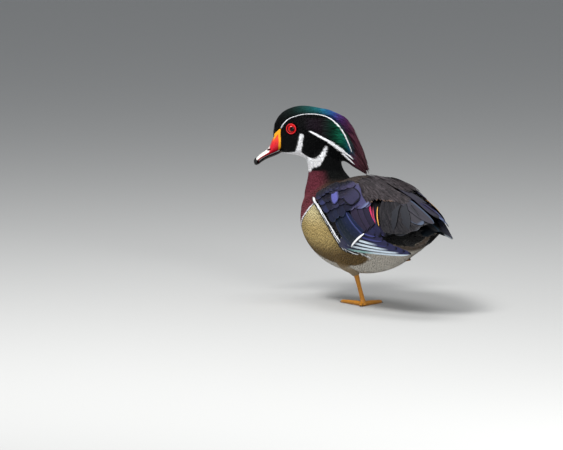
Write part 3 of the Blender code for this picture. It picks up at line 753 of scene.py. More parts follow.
def fused(name, pieces, voxel, smoothing):
    """One closed smooth mesh from closed pieces that cross each other."""
    rough = make_object(name, *joined(pieces))
    remesh = rough.modifiers.new("remesh", "REMESH")
    remesh.mode = "VOXEL"
    remesh.voxel_size = voxel * MM
    relax = rough.modifiers.new("relax", "SMOOTH")
    relax.factor = 0.5
    relax.iterations = smoothing
    graph = bpy.context.evaluated_depsgraph_get()
    mesh = bpy.data.meshes.new_from_object(rough.evaluated_get(graph))
    rough.modifiers.clear()
    old = rough.data
    rough.data = mesh
    bpy.data.meshes.remove(old)
    shape = bmesh.new()
    shape.from_mesh(mesh)
    bmesh.ops.triangulate(shape, faces=shape.faces)
    shape.to_mesh(mesh)
    shape.free()
    mesh.name = name
    mesh.shade_smooth()
    return rough


class Skin:
    """One closed skin over trunk, neck, head, tail root, wing arms and thighs."""

    DEPTH = -1.3
    VOXEL = 1.5
    SMOOTHING = 8
    ARM_OUTER = -5.0
    CREST_END = -42.5
    ARM_INNER = -12.0
    # Where the map's regions of head and neck begin
    HEAD_START = 152
    NECK_START = 134
    NECK_BACK = -40

    def __init__(self):
        pieces = [
            grid_tube(trunk_at, TRUNK[0][0], 140, 70, 72, self.DEPTH),
            grid_tube(neck_at, NECK[0][0], NECK[-1][0], 24, 48, self.DEPTH),
            grid_tube(head_at, self.CREST_END, HEAD[0][0] - 0.6, 60, 48, self.DEPTH),
            grid_tube(tail_at, TAIL_CORE[0][0], TAIL_CORE[-1][0], 16, 32, self.DEPTH),
            *(grid_tube(thigh, 0, thigh.length, 12, 24, self.DEPTH) for thigh in (THIGH_LEFT, THIGH_RIGHT)),
            self.arm(LEFT_ARM, 1),
            self.arm(RIGHT_ARM, -1),
        ]
        self.object = fused("skin", pieces, self.VOXEL, self.SMOOTHING)
        self.points, self.faces = read_mesh(self.object.data)
        self.tree = BVHTree.FromPolygons(self.points.tolist(), self.faces.tolist())

    def arm(self, edges, side):
        """The flesh of a folded wing, between the trunk and its feathers."""
        track = Track(edges)
        rings = []
        for y in np.linspace(edges[0][0] + 4, edges[-1][0] - 12, 24):
            upper, lower = track(y)
            across = np.linspace(0.06, 0.94, 12)
            angles = (upper + (lower - upper) * across) * side
            swell = np.sin(math.pi * across) ** 0.5
            outer = wing_at(np.full(12, y), angles, self.ARM_OUTER - 1.5 * (1 - swell))
            inner = wing_at(np.full(12, y), angles, self.ARM_INNER)
            rings.append(np.concatenate([outer, inner[::-1]]))
        return tube_mesh(rings)

    def nearest(self, points):
        """Nearest skin points and their normals."""
        shape = np.shape(points)
        found = [self.tree.find_nearest(Vector(point)) for point in np.reshape(points, (-1, 3)).tolist()]
        places = np.array([hit[0][:] for hit in found]).reshape(shape)
        normals = np.array([hit[1][:] for hit in found]).reshape(shape)
        return places, normals

    def place_on(self, surface):
        """place(u, v) for lay() on the skin, by way of a surface near it."""

        def place(u, v):
            base = surface(u, v, 0.0)
            out = unit(surface(u, v, 1.0) - base)
            points, normals = self.nearest(base)
            normals = np.where((np.sum(normals * out, -1) < 0)[..., None], -normals, normals)
            return points, unit(normals + out * 0.5)

        return place

    def dress(self, paint):
        """Colours and unwraps the skin and makes it the piece for the nodes of flesh."""
        add_layers(self.object, body_colour(self.points), 0.1)
        add_map(self.object, self.unwrapped())
        nodes = ("torso", "neck", "head", "crest", "thigh_left", "thigh_right")
        finish_piece(self.object, paint, nodes)

    def unwrapped(self):
        """The skin's own map: each corner by its angle and its place along the body or head."""
        corners = self.points[self.faces]
        middle = corners.mean(1)
        s, _, aside = profile_of(corners)
        height = corners[..., 2]
        on_head = (middle[:, 2] > self.HEAD_START)[:, None]
        on_neck = ((middle[:, 2] > self.NECK_START) & (middle[:, 1] < self.NECK_BACK))[:, None] & ~on_head
        top, bottom, _ = HEAD_TRACK(s)
        head_angle = np.degrees(np.arctan2(aside, height - (top + bottom) / 2))
        neck_angle = np.degrees(np.arctan2(aside, s - NECK_TRACK(height)[0]))
        angle = np.where(on_head, head_angle, np.where(on_neck, neck_angle, trunk_angle(corners)))
        first = angle[:, :1]
        angle = first + wrapped(angle - first)
        places = (("trunk", corners[..., 1]), ("neck", height), ("head", s))
        on_trunk_map, on_neck_map, on_head_map = (unwrap(region, place, angle) for region, place in places)
        chosen = np.where(on_neck[..., None], on_neck_map, on_trunk_map)
        return np.where(on_head[..., None], on_head_map, chosen).reshape(-1, 2)


def shingles(surface, start, stop, size, overlap, crowd):
    """Staggered rows of small feathers from start to stop along a surface: roots, tips, widths.

    size(place) gives a feather's length and width there."""
    forward = np.sign(stop - start)
    place = start
    roots, tips, widths = [], [], []
    odd = False
    angles = np.linspace(-180, 180, 181)
    while (stop - place) * forward > 0:
        length, width = size(place)
        arc = distances(surface(np.full(181, float(place)), angles, 0.0))
        count = max(int(arc[-1] / (width * crowd)), 3)
        at = (np.arange(count) + (0.5 if odd else 0) + RANDOM.uniform(-0.18, 0.18, count)) / count * arc[-1]
        turn = np.interp(at, arc, angles)
        back = place + RANDOM.uniform(-0.2, 0.2, count) * length * overlap
        reach = length * varied(0.12, count)
        roots.append(np.stack([back, turn], 1))
        tips.append(np.stack([back + forward * reach, turn], 1))
        widths.append(width * varied(0.15, count))
        place += forward * length * overlap
        odd = not odd
    return np.concatenate(roots), np.concatenate(tips), np.concatenate(widths)


def cover(skin, surface, span, size, overlap, crowd, most, keep=None, share=0.6):
    """Rows of small feathers where the surface is at most that far from the skin.

    keep(roots, tips, points) may leave more out, by the point at a share of each feather's length."""
    roots, tips, widths = shingles(surface, *span, size, overlap, crowd)
    at = roots + (tips - roots) * share
    points = surface(at[:, 0], at[:, 1], 0.0)
    kept = np.linalg.norm(skin.nearest(points)[0] - points, axis=-1) < most
    if keep:
        kept &= keep(roots, tips, points)
    return roots[kept], tips[kept], widths[kept]


def tuft_paint(colour, rough=0.07, root=0.85):
    """Colours of small feathers: each vertex's mark on the coat, a little darker at the root as painted shade
    under the feathers above.
    """

    def paint(share, side, number, points):
        tone = varied(rough, len(points), 1, 1)
        middle = points.mean(axis=1, keepdims=True)
        # painted shade: darker towards the root, which lies under the next feathers
        shade = (root + (1.04 - root) * share)[..., None]
        return colour(points * 0.6 + middle * 0.4) * tone * shade

    return paint


# Radius round the eye without feathers
EYE_BARE = 6.3


def bill_rear(height):
    """How far forward the bill's rear edge is at a height on the head's side."""
    return 45.6 + np.maximum(187.3 - height, 0) * 0.07


def bill_base(s, height):
    """Whether a place on the head is under the bill."""
    rear = bill_rear(height)
    return (s > rear - 0.3) & (height < 189 - (s - 45.5) * 0.5) & (height > 161 + (s - 45) * 0.2)


def head_keep(roots, tips, points):
    """Which feathers are clear of the eyes and the bill."""
    s, _, _ = profile_of(points)
    height = points[:, 2]
    eye = np.hypot(s - EYE_PLACE[0], height - EYE_PLACE[2]) < EYE_BARE
    return ~eye & ~bill_base(s, height)


def face_size(s):
    """Length and width of the face's feathers."""
    return np.interp(s, (12, 40, 52), (4.2, 3.2, 2.4)), np.interp(s, (12, 40, 52), (1.7, 1.4, 1.1))


def make_head_coats(skin, paint):
    """Small feathers over the head, leaving the eyes and the bill bare, in two pieces."""
    for name, span, size in (
        ("face_coat", (53.6, 12), face_size),
        ("crown_coat", (12, -45), lambda s: (6.5, 1.8)),
    ):
        coat = []
        feathers = cover(skin, head_at, span, size, 0.34, 0.6, 3.2, head_keep)
        lay(coat, skin.place_on(head_at), *feathers, (0.1, 0.95, 0.95), TUFT, tuft_paint(head_colour),
            "head", radius=12, jitter=0.1, gloss=0.6)
        build_coat(name, coat, paint)


def head_turn(s, h):
    """The turn on the head's near side that shows at s and h in profile."""
    turns = np.linspace(0, 180, 91)
    found = []
    for forward, height in zip(np.ravel(s), np.ravel(h)):
        _, seen, _ = profile_of(head_at(np.full(91, forward), turns, 0.0))
        order = np.argsort(seen)
        found.append(np.interp(height, seen[order], turns[order]))
    return np.reshape(found, np.shape(s))


def along_line(line, count):
    """Evenly spread places on a line of (s, h, half width), and how far along they are."""
    line = np.array(line, float)
    arc = distances(line[:, :2])
    at = np.linspace(0, arc[-1], count)
    return [np.interp(at, arc, line[:, k]) for k in range(3)], at


def plain(colour):
    """Feathers of one colour."""
    return lambda share, side, number, points: colour


# Distance from one lock of a white line to the next, and a lock's length
LOCK_STEP = 0.6
LOCK_LENGTH = 5.5


def make_stripes(paint):
    """White locks that run along the lines of face and crest, on both sides."""
    coat = []
    for line in (BROW, EYE_STREAK, *STREAK_ENDS):
        total = along_line(line, 2)[1][-1]
        (s, h, half), at = along_line(line, int(total / LOCK_STEP))
        reach = max(int(LOCK_LENGTH / (at[1] - at[0])), 2)
        firsts = np.arange(0, len(at) - (reach // 2 if line is BROW else reach))
        lasts = np.minimum(firsts + reach, len(at) - 1)
        loose = 0.4 if line is BROW else 0.6
        off = RANDOM.uniform(-loose, loose, len(firsts)) * half[firsts]
        ends = off * half[lasts] / half[firsts]
        roots = np.stack([s[firsts], head_turn(s[firsts], h[firsts] + off)], 1)
        tips = np.stack([s[lasts], head_turn(s[lasts], h[lasts] + ends)], 1)
        widths = np.clip(half[firsts] * 1.3, 0.45, 1.8)
        for side in (1, -1):
            lay(coat, facing(head_at), roots * [1, side], tips * [1, side], widths, (0.0, 0.6, 0.6), STRAND,
                plain(WHITE), "head", radius=8, thick=0.3, jitter=0.12, gloss=0)
    build_coat("white_locks", coat, paint)


def strand_paint(share, side, number, points):
    """Crest colours: a strand keeps the colour of where it grows, and some are paler."""
    tone = RANDOM.choice((0.45, 0.8, 1.0, 1.25, 1.7), (len(points), 1, 1), p=(0.2, 0.25, 0.25, 0.2, 0.1))
    root = head_colour(points[:, :1] * 0.5 + points.mean(axis=1, keepdims=True) * 0.5, False)
    return (head_colour(points, False) * 0.6 + root * 0.4) * tone


def above_streak(points):
    """Whether points lie above the white streak behind the eye."""
    s, h, _ = profile_of(points)
    return near_line(s, h, EYE_STREAK)[1] < 0


# Where the crest's strands may grow and end, forward of the neck, and the groups of loose strands:
# count, places of the roots, lengths, spread in degrees and greatest lift
CREST_ROOT = -42
CREST_TIP = -41.5
CREST_RAGGED = 9.5
WISPS = (
    (220, (-40, -12), (13, 19), 9, 2.6),
    (90, (-40, -24), (14, 23), 13, 7.0),
)


def make_crest(paint):
    """Long silky strands over the back of the head that trail into the crest's points."""
    coat = []
    roots, tips, widths = shingles(head_at, 4, -48, lambda s: (15, 1.5), 0.12, 0.72)
    tips[:, 0] += RANDOM.uniform(-1.5, 1.5, len(tips))
    tips[:, 0] = np.maximum(tips[:, 0], CREST_TIP - CREST_RAGGED * RANDOM.uniform(0, 1, len(tips)) ** 1.8)
    grown = above_streak(head_at(roots[:, 0], roots[:, 1])) & (np.abs(roots[:, 1]) < 150)
    grown = (grown | (roots[:, 0] < -25)) & (roots[:, 0] > CREST_ROOT)
    lay(coat, facing(head_at), roots[grown], tips[grown], widths[grown], (-0.9, -0.1, 0.0), STRAND,
        strand_paint, "head", radius=9, thick=0.3, jitter=0.3, gloss=0.5)
    for count, places, reaches, spread, lift in WISPS:
        roots = np.stack([RANDOM.uniform(*places, count), RANDOM.uniform(-70, 70, count)], 1)
        reach = RANDOM.uniform(*reaches, count)
        tips = roots + np.stack([-reach, RANDOM.uniform(-spread, spread, count)], 1)
        tips[:, 0] = np.maximum(tips[:, 0], -60 + RANDOM.uniform(0, 7, count))
        lifts = [np.full(count, -0.8), *(RANDOM.uniform(0.1, most, count) for most in (lift * 0.5, lift))]
        lay(coat, facing(head_at), roots, tips, RANDOM.uniform(0.6, 1.1, count), np.stack(lifts, 1), STRAND,
            strand_paint, "head", radius=9, thick=0.3, gloss=0.4)
    build_coat("crest_strands", coat, paint)


def make_neck_coat(skin, paint):
    """Feathers round the neck that lie down towards the breast."""
    coat = []
    feathers = cover(skin, neck_at, (160, 104), lambda place: (6, 2.6), 0.34, 0.62, 4)
    lay(coat, skin.place_on(neck_at), *feathers, (0.3, 0.6, 0.85), SCALE, tuft_paint(neck_colour),
        "neck", radius=16, thick=0.2, jitter=0.06, gloss=0.03)
    build_coat("neck_coat", coat, paint)


def trunk_size(y):
    """Length and width of the trunk's feathers."""
    marks = (-104, -70, -20, 140)
    return np.interp(y, marks, (5, 7, 9.5, 11)), np.interp(y, marks, (3, 4, 5.2, 6))


# The stretch that the wings hide, and how far under their edges the coat still reaches
HIDDEN_FROM, HIDDEN_TO = -24, 96
UNDER_UPPER, UNDER_LOWER = 8, 9


def trunk_keep(roots, tips, points):
    """Which feathers of the trunk aren't hidden under the wings."""
    y = tips[:, 0]
    hidden = np.zeros(len(y), bool)
    for edges, side in ((LEFT_ARM, 1), (RIGHT_ARM, -1)):
        upper, lower = Track(edges)(y)
        angle = roots[:, 1] * side
        hidden |= (angle > upper + UNDER_UPPER) & (angle < lower - UNDER_LOWER)
    return ~(hidden & (y > HIDDEN_FROM) & (y < HIDDEN_TO))


def make_trunk_coat(skin, paint):
    """Breast, flank, belly, back and rump."""
    coat = []
    roots, tips, widths = cover(skin, trunk_at, (-103, 132), trunk_size, 0.3, 0.57, 4.5, trunk_keep)
    y, a = roots[:, 0], np.abs(roots[:, 1])
    flank = (y > BREAST_EDGE(a)[0]) & (y < FLANK_TOP(a)[0]) & (a < BELLY_EDGE(y)[0])
    lay(coat, skin.place_on(trunk_at), roots, tips, widths, (0.15, 0.36, 0.55), SCALE,
        tuft_paint(body_colour, 0.04, 0.98), thick=0.1, jitter=0.02, gloss=0.05, bars=(flank * 1.0)[:, None])
    build_coat("trunk_coat", coat, paint)


def make_thigh_coat(skin, paint):
    """Short soft feathers down the thighs, to where the bare leg begins."""
    coat = []
    # the right thigh's tone is a darker copy of the left's: painted shade
    for thigh, tone in ((THIGH_LEFT, rgb(146, 130, 106)), (THIGH_RIGHT, rgb(120, 104, 80))):
        feathers = cover(skin, thigh, (2, thigh.length - 2), lambda place: (5, 2.8), 0.3, 0.6, 2.5, share=0.4)

        def paint_thigh(share, side, number, points):
            colour = blend(body_colour(points), tone, ease(-points[..., 2], -50, -40))
            # darker towards each feather's root: painted shade under the feathers above
            return colour * (0.88 + 0.14 * share[..., None])

        lay(coat, facing(thigh), *feathers, (-1.3, -0.5, -0.4), SCALE, paint_thigh, "leg",
            radius=12, thick=0.3, jitter=0.15, gloss=0.05)
    build_coat("thigh_coat", coat, paint)


def along_places(line, at):
    """Places on a line of (y, angle), by how many of its steps each is along it."""
    line = np.array(line, float)
    return np.stack([np.interp(at, np.arange(len(line)), line[:, k]) for k in range(2)], 1)


def between(line, count, jitter):
    """Evenly spread places along a line of places (y, angle)."""
    places = along_places(line, np.linspace(0, len(line) - 1, count))
    return places + RANDOM.uniform(-jitter, jitter, places.shape)


def vane_paint(body, low=None, high=None, end=None, root=None, rough=0.07):
    """Colours of a big feather: its body, its lower and upper edge, its end and its root, where a darker root
    is painted shade under the feathers above.

    Each of the others is a colour and the share of the width or length that it takes."""
    body = np.atleast_2d(body)

    def paint(share, side, number, points):
        count = len(points)
        at = np.linspace(0, len(body) - 1, count)
        tone = varied(rough, count, 1)
        own = np.stack([np.interp(at, np.arange(len(body)), body[:, k]) for k in range(3)], 1) * tone
        colour = own[:, None]
        if root:
            colour = blend(colour, root[0], ease(-share, -root[1], -root[1] * 0.4))
        for part, value, inner in ((low, side, 0.7), (high, -side, 0.7), (end, share, 0.75)):
            if part:
                colour = blend(colour, part[0], ease(value, 1 - part[1], 1 - part[1] * inner))
        return colour

    return paint


# Colours of the wing
COVERT_DARK = rgb(31, 31, 48)
COVERT_MID = rgb(46, 46, 70)
# Painted shade at the roots of the coverts, where they go under the feathers above
COVERT_ROOT_SHADE = rgb(17, 17, 28)
# painted sheen: the bright violet-blue of one covert
COVERT_SHEEN = rgb(96, 98, 168)
SPECULUM = rgb(20, 31, 46)
SPECULUM_BLUE = rgb(24, 35, 62)
SPECULUM_PLUM = rgb(44, 38, 56)
VIOLET_EDGE = rgb(82, 88, 160)
QUILL_BLUE = rgb(44, 46, 82)
QUILL_PLUM = rgb(40, 38, 64)
QUILL_DARK = rgb(16, 20, 34)
QUILL_SILVER = rgb(206, 220, 232)
QUILL_TEAL = rgb(130, 172, 168)
TERTIAL_LIGHT = rgb(64, 66, 72)
# painted highlight: pale blue-grey where the fourth tertial ends
TERTIAL_HIGHLIGHT = rgb(70, 80, 98)
# painted sheen along the back's ridge, on the topmost tertial's upper edge
RIDGE_SHEEN = rgb(64, 75, 94)
PINK = rgb(196, 56, 96)
PINK_DEEP = rgb(170, 56, 88)
YELLOW = rgb(222, 168, 84)
MANTLE = rgb(42, 36, 38)
MANTLE_PALE = rgb(74, 67, 70)
RUST = rgb(124, 96, 76)
DARK = rgb(9, 9, 13)
# Painted sheen of the far wing: violet bodies and pale blue edges
FAR_SHEEN_VIOLET = rgb(56, 52, 88)
FAR_SHEEN_BLUE = rgb(88, 102, 138)


# Where each primary's silver web starts and ends along it, from the lowest
SILVER_SPANS = np.array([(0.2, 0.97), (0.2, 0.88), (0.2, 0.78), (0.25, 0.68), (2.0, 3.0)])


def primary_paint(share, side, number, points):
    """Blue flight feathers; the outer webs of the lowest ones are silver, with dark lines between."""
    body = blend(QUILL_BLUE, QUILL_PLUM, np.linspace(0, 1, len(points)))[:, None]
    first, last = np.moveaxis(SILVER_SPANS[np.minimum(number, len(SILVER_SPANS) - 1)], -1, 0)
    silver = ease(side, 0.52, 0.62) * ease(share, first, first + 0.06) * over(last - share, 0.04)
    return layered(
        body,
        (QUILL_DARK, ease(share, 0.1, 0.3) * ease(-share, -0.75, -0.5) * ease(side, 0.1, 0.3)),
        (QUILL_SILVER, silver),
        (QUILL_TEAL, ease(-number, -0.5, 0) * silver * ease(-share, -0.5, -0.4)),
        (VIOLET_EDGE, ease(side, 0.7, 0.85) * ease(number, 2.5, 3.5) * (1 - silver) * 0.6),
        (DARK, ease(share, 0.955, 0.99)),
    )


def single(root, tip, width, lift, *others):
    """A row of one feather."""
    return (1, (root,), (tip,), width, (lift, lift), *others)


# Rows of the left wing's feathers, from the lowest to the topmost. Each has its count, the lines of
# (y, angle) along which roots and tips lie, width, lifts of the first and last feather, how far the
# tip rises over the root, the tilt over its neighbour, pattern, gloss and colours.
WING_ROWS = [
    (6, ((34, 108), (62, 76)), ((148, 108), (140, 104), (130, 100), (119, 95), (112, 88), (104, 82)), 11,
     (-4.4, -3.0), 0.6, 0.12, FLIGHT, 0.3, primary_paint),
    (3, ((62, 54), (74, 40)), ((101, 87), (118, 80)), 12, (-2.9, -2.3), 0.6, 0.08, COVERT, 0.4,
     vane_paint([rgb(42, 43, 74), rgb(36, 34, 56)], low=(rgb(66, 70, 122), 0.12), end=(DARK, 0.08),
                root=(DARK, 0.45))),
    (5, ((31, 74), (42, 65)), ((63.5, 103.5), (83, 88)), 11, (-3.6, -2.6), 0.7, 0.1, SQUARE, 0.55,
     vane_paint([SPECULUM_BLUE, SPECULUM, SPECULUM, rgb(26, 35, 58), rgb(30, 38, 66)], end=(DARK, 0.02),
                low=(DARK, 0.06), rough=0.02)),
    single((61.5, 106.5), (85.5, 85), 2.5, -1.7, 0.3, 0, COVERT, 0, vane_paint(WHITE, rough=0)),
    # a thin violet-blue feather on the speculum panel's edge: a painted highlight
    single((44, 64), (83.5, 87.5), 2.6, -2.3, 0.7, 0, SQUARE, 0.6,
           vane_paint(rgb(66, 74, 124), low=(SPECULUM_BLUE, 0.9), rough=0)),
    (3, ((48, 51), (64, 45)), ((86, 83.5), (95.5, 72.5)), 10, (-2.6, -1.9), 0.6, 0.08, SQUARE, 0.35,
     vane_paint([SPECULUM_PLUM, rgb(48, 42, 62), rgb(40, 36, 54)], low=(rgb(64, 62, 88), 0.1),
                high=(DARK, 0.1), end=(DARK, 0.03))),
    single((74, 44), (97, 68), 3.4, -1.6, 0.5, 0, COVERT, 0.1,
           vane_paint(PINK, end=(rgb(120, 60, 140), 0.3), root=(DARK, 0.2), high=(DARK, 0.16), rough=0)),
    single((80, 44), (98.5, 66.5), 2.0, -1.3, 0.5, 0, COVERT, 0.1,
           vane_paint(PINK_DEEP, root=(DARK, 0.25), high=(DARK, 0.2), rough=0)),
    single((84, 40), (105, 69), 5.5, -1.3, 0.4, 0, COVERT, 0.1, vane_paint(DARK, rough=0)),
    single((87, 43), (105, 68.5), 1.5, -0.8, 0.4, 0, COVERT, 0.1, vane_paint(YELLOW, rough=0)),
    single((84, 12), (124, 73), 28, -1.5, 0.1, 0, FLIGHT, 0.1,
           vane_paint(rgb(42, 43, 48), low=(rgb(34, 36, 41), 0.14), rough=0)),
    single((78, 12), (143, 62), 30, -1.3, 0.1, 0, FLIGHT, 0.1, vane_paint(rgb(42, 43, 48), rough=0)),
    single((70, 12), (154, 44), 26, -1.1, 0.15, 0, FLIGHT, 0.1,
           vane_paint(rgb(43, 43, 48), end=(TERTIAL_LIGHT, 0.012), rough=0)),
    # the fourth tertial, with a painted blue-grey highlight along its lower edge and end
    single((66, 11), (154, 30), 17, -0.5, 0.6, 0, FLIGHT, 0.14,
           vane_paint(rgb(50, 48, 54), low=(TERTIAL_HIGHLIGHT, 0.1), end=(TERTIAL_HIGHLIGHT, 0.08), rough=0)),
    # the topmost tertial, its upper edge painted with the ridge's sheen
    single((52, 10), (162, 13), 15, 0.0, 0.6, 0.02, FLIGHT, 0.14,
           vane_paint(rgb(50, 48, 56), high=(RIDGE_SHEEN, 0.34), low=(DARK, 0.05), rough=0)),
    (4, ((6, 60), (32, 46)), ((33, 78), (40, 75), (47, 69), (54, 61)), 13, (-2.5, -1.6), 0.7, 0.1,
     COVERT, 0.4, vane_paint([rgb(30, 34, 56), rgb(34, 38, 60), rgb(30, 30, 48)],
                             end=(rgb(66, 78, 98), 0.025), root=(COVERT_ROOT_SHADE, 0.75))),
    (3, ((38, 48), (58, 38)), ((58, 60), (77, 47)), 12, (-1.9, -1.3), 0.5, 0.08, COVERT, 0.3,
     vane_paint([rgb(48, 46, 68), rgb(58, 55, 78)], end=(rgb(90, 86, 118), 0.05), low=(DARK, 0.1))),
    (5, ((-12, 58), (28, 40)), ((18, 69), (48, 54)), 13.5, (-1.9, -1.1), 0.8, 0.1, COVERT, 0.4,
     vane_paint([rgb(40, 44, 76), COVERT_DARK, COVERT_MID, rgb(36, 34, 50), COVERT_DARK],
                end=(rgb(48, 48, 74), 0.08), root=(COVERT_ROOT_SHADE, 0.8))),
    (5, ((-22, 54), (12, 40)), ((4, 62), (34, 50)), 12.5, (-1.4, -0.6), 0.8, 0.1, COVERT, 0.4,
     vane_paint([rgb(52, 56, 96), COVERT_DARK, COVERT_DARK, rgb(62, 58, 80), rgb(44, 42, 60)],
                end=(rgb(56, 55, 84), 0.08), root=(COVERT_ROOT_SHADE, 0.8))),
    # a covert painted bright violet-blue: a painted sheen over the coverts
    single((4, 46), (27, 59.5), 11.5, -0.2, 0.7, 0.03, COVERT, 0.4,
           vane_paint(COVERT_SHEEN, end=(rgb(70, 72, 120), 0.1), low=(COVERT_MID, 0.3),
                      high=(rgb(76, 78, 124), 0.4), rough=0)),
    (5, ((-31, 52), (-8, 37)), ((-11, 58), (12, 43)), 10.5, (-0.9, 0.0), 0.8, 0.1, COVERT, 0.4,
     vane_paint([rgb(42, 44, 70), COVERT_DARK, rgb(46, 48, 74), COVERT_DARK], end=(rgb(58, 60, 90), 0.06),
                root=(COVERT_ROOT_SHADE, 0.8))),
    single((22, 33), (74, 48), 26, -1.0, 0.5, 0.02, COVERT, 0.4,
           vane_paint(rgb(72, 70, 104), low=(DARK, 0.05), end=(rgb(100, 108, 142), 0.1),
                      high=(rgb(78, 74, 96), 0.4))),
    single((26, 41), (60, 49.5), 19, 0.5, 0.6, 0.02, COVERT, 0.35,
           vane_paint(rgb(52, 50, 74), low=(DARK, 0.12), end=(DARK, 0.08), high=(DARK, 0.14),
                      root=(rgb(40, 38, 52), 0.45))),
    (4, ((-14, 44), (10, 31)), ((12, 47), (34, 34)), 11, (-0.6, 0.1), 0.6, 0.08, COVERT, 0.3,
     vane_paint([rgb(38, 40, 58), rgb(44, 42, 62), rgb(64, 60, 88)], end=(rgb(58, 55, 78), 0.06),
                root=(COVERT_ROOT_SHADE, 0.7))),
]

# The far wing's long feathers are painted violet with pale blue edges, where the same feathers of the left
# wing are grey: painted sheen of the light on the far wing; the others are like the left wing's
FAR_SHEEN_COLOURS = {
    10: vane_paint(rgb(46, 43, 76), low=(FAR_SHEEN_BLUE, 0.16), end=(FAR_SHEEN_BLUE, 0.05)),
    11: vane_paint(FAR_SHEEN_VIOLET, low=(FAR_SHEEN_BLUE, 0.2), end=(rgb(150, 176, 190), 0.04)),
    12: vane_paint(rgb(50, 46, 80), low=(FAR_SHEEN_BLUE, 0.18), end=(FAR_SHEEN_BLUE, 0.06)),
    13: vane_paint(FAR_SHEEN_VIOLET, low=(FAR_SHEEN_BLUE, 0.35), end=(FAR_SHEEN_BLUE, 0.1)),
    14: vane_paint(rgb(46, 44, 56), low=(DARK, 0.1), end=(DARK, 0.05)),
    21: vane_paint(rgb(56, 53, 70), end=(rgb(80, 88, 106), 0.06)),
}


def shoulder_at(y, angle, lift=0.0):
    """Points on the wings that go down to the back's own surface near its ridge."""
    share = ease(-np.abs(angle), -30, -8) * ease(-y, -105, -55)
    return blend(wing_at(y, angle, lift), trunk_at(y, angle, lift + 1.5), share)


# How far back the far wing's feathers may reach, and which of its rows lie deeper
FAR_REACH = 150
FAR_SUNK = (21, 22)
FAR_SINK = 1.8
# The long feathers, whose roots go under the shoulder's
LONG_ROWS = (10, 11, 12, 13, 14)
ROOT_SINK = 5.0
# Rows of coverts, whose places vary a little
COVERT_ROWS = (15, 16, 17, 18, 20, 23)
COVERT_JITTER = 1.3
# Lines of (y, angle) along which the shoulder's feathers start and end, from the lowest to the ridge
MANTLE_STARTS = [(48, 32), (30, 22), (10, 14), (-6, 2)]
MANTLE_ENDS = [(72, 46), (86, 33), (98, 24), (112, 16), (104, 1)]


def to_right(places):
    """Places on the left wing moved to the right wing, which is folded higher."""
    y, angle = np.moveaxis(np.asarray(places, float), -1, 0)
    upper, lower = Track(LEFT_ARM)(y)
    share = (angle - upper) / (lower - upper)
    upper, lower = Track(RIGHT_ARM)(y)
    return np.stack([y, -(upper + (lower - upper) * share)], -1)


def make_wing(name, side, paint):
    """One folded wing: flight feathers, coverts and the long feathers of the shoulder."""
    coat = []
    for row, values in enumerate(WING_ROWS):
        count, root_line, tip_line, width, lifts, rise, tilt, pattern, gloss, colours = values
        loose = COVERT_JITTER if row in COVERT_ROWS else 0
        roots, tips = between(root_line, count, loose), between(tip_line, count, loose)
        low = np.linspace(*lifts, count)
        if side < 0:
            roots, tips = to_right(roots), to_right(tips)
            tips[:, 0] = np.minimum(tips[:, 0], FAR_REACH)
            # the far wing takes its painted sheen colours
            colours = FAR_SHEEN_COLOURS.get(row, colours)
            low = low - FAR_SINK * (row in FAR_SUNK)
        sunk = ROOT_SINK if row in LONG_ROWS else 0.6
        heights = np.stack([low - sunk, low + rise * 0.6, low + rise], 1)
        lay(coat, facing(wing_at), roots, tips, width, heights, pattern, colours, side=side,
            thick=0.4, tilt=tilt, gloss=gloss)
    make_mantle(coat, side)
    build_coat(name, coat, paint, ("wing_left" if side > 0 else "wing_right",))


def lay_loose(coat, side, place, starts, ends, count, most, reaches, widths, low, colours,
              loose=1.2, gloss=0.08):
    """Many narrow feathers from one line of (y, angle) to another; those further back lie deeper.

    low has the lift of the tips furthest back, what the nearest have more, and how deep the roots lie."""
    across = RANDOM.uniform(0, 1, count)
    back = np.minimum(RANDOM.uniform(0, most, count), 1)
    start, end = (along_places(line, across * (len(line) - 1)) for line in (starts, ends))
    tips = start + (end - start) * (0.3 + 0.7 * back[:, None])
    reach = RANDOM.uniform(*reaches, count) / np.linalg.norm(end - start, axis=1)
    roots = tips - (end - start) * reach[:, None]
    tips = tips + RANDOM.uniform(-loose, loose, tips.shape)
    if side < 0:
        roots, tips = to_right(roots), to_right(tips)
    order = np.argsort(-back)
    height = low[0] + low[1] * (1 - back[order]) + RANDOM.uniform(0, 0.15, count)
    heights = np.stack([height - low[2], height - 0.1, height], 1)
    lay(coat, facing(place), roots[order], tips[order], RANDOM.uniform(*widths, count), heights, PLUME,
        colours(back[order], across[order]), side=side, radius=30, thick=0.35, gloss=gloss)


def mottled(first, second, low, high, count):
    """A colour between two for each feather, with its own brightness."""
    tone = RANDOM.uniform(low, high, (count, 1, 1))
    return blend(first, second, RANDOM.uniform(0, 1, (count, 1)) ** 2) * tone


def mantle_colours(back, across):
    """Brown-grey feathers with a rusty line where the lowest ones end."""
    rusty = ((back > 0.92) & (across < 0.5))[:, None]

    def paint(share, side, number, points):
        colour = mottled(MANTLE, MANTLE_PALE, 0.5, 1.35, len(back))
        colour = blend(colour, RUST, ease(share, 0.9, 0.96) * rusty)
        return blend(colour, DARK, ease(-np.abs(side), -0.3, -0.1) * 0.3)

    return paint


def tertial_colours(back, across):
    """Streaked dark grey, a little paler where the feathers end, with painted shade towards the root."""
    last = (back > 0.985)[:, None]

    def paint(share, side, number, points):
        colour = mottled(rgb(30, 29, 33), rgb(44, 41, 44), 0.55, 1.25, len(back))
        colour = blend(colour, rgb(74, 72, 74), ease(share, 0.9, 0.98) * last * 0.7)
        # painted shade: darker towards the root, under the shoulder's feathers
        return blend(colour, DARK, ease(-share, -0.35, 0) * 0.6)

    return paint


TERTIAL_STARTS = [(93, 44), (88, 33), (92, 24), (104, 19), (112, 15)]
TERTIAL_ENDS = [(109, 70), (115, 76), (128.5, 72.5), (144.5, 64), (151.5, 49.5), (156, 27), (158, 14)]


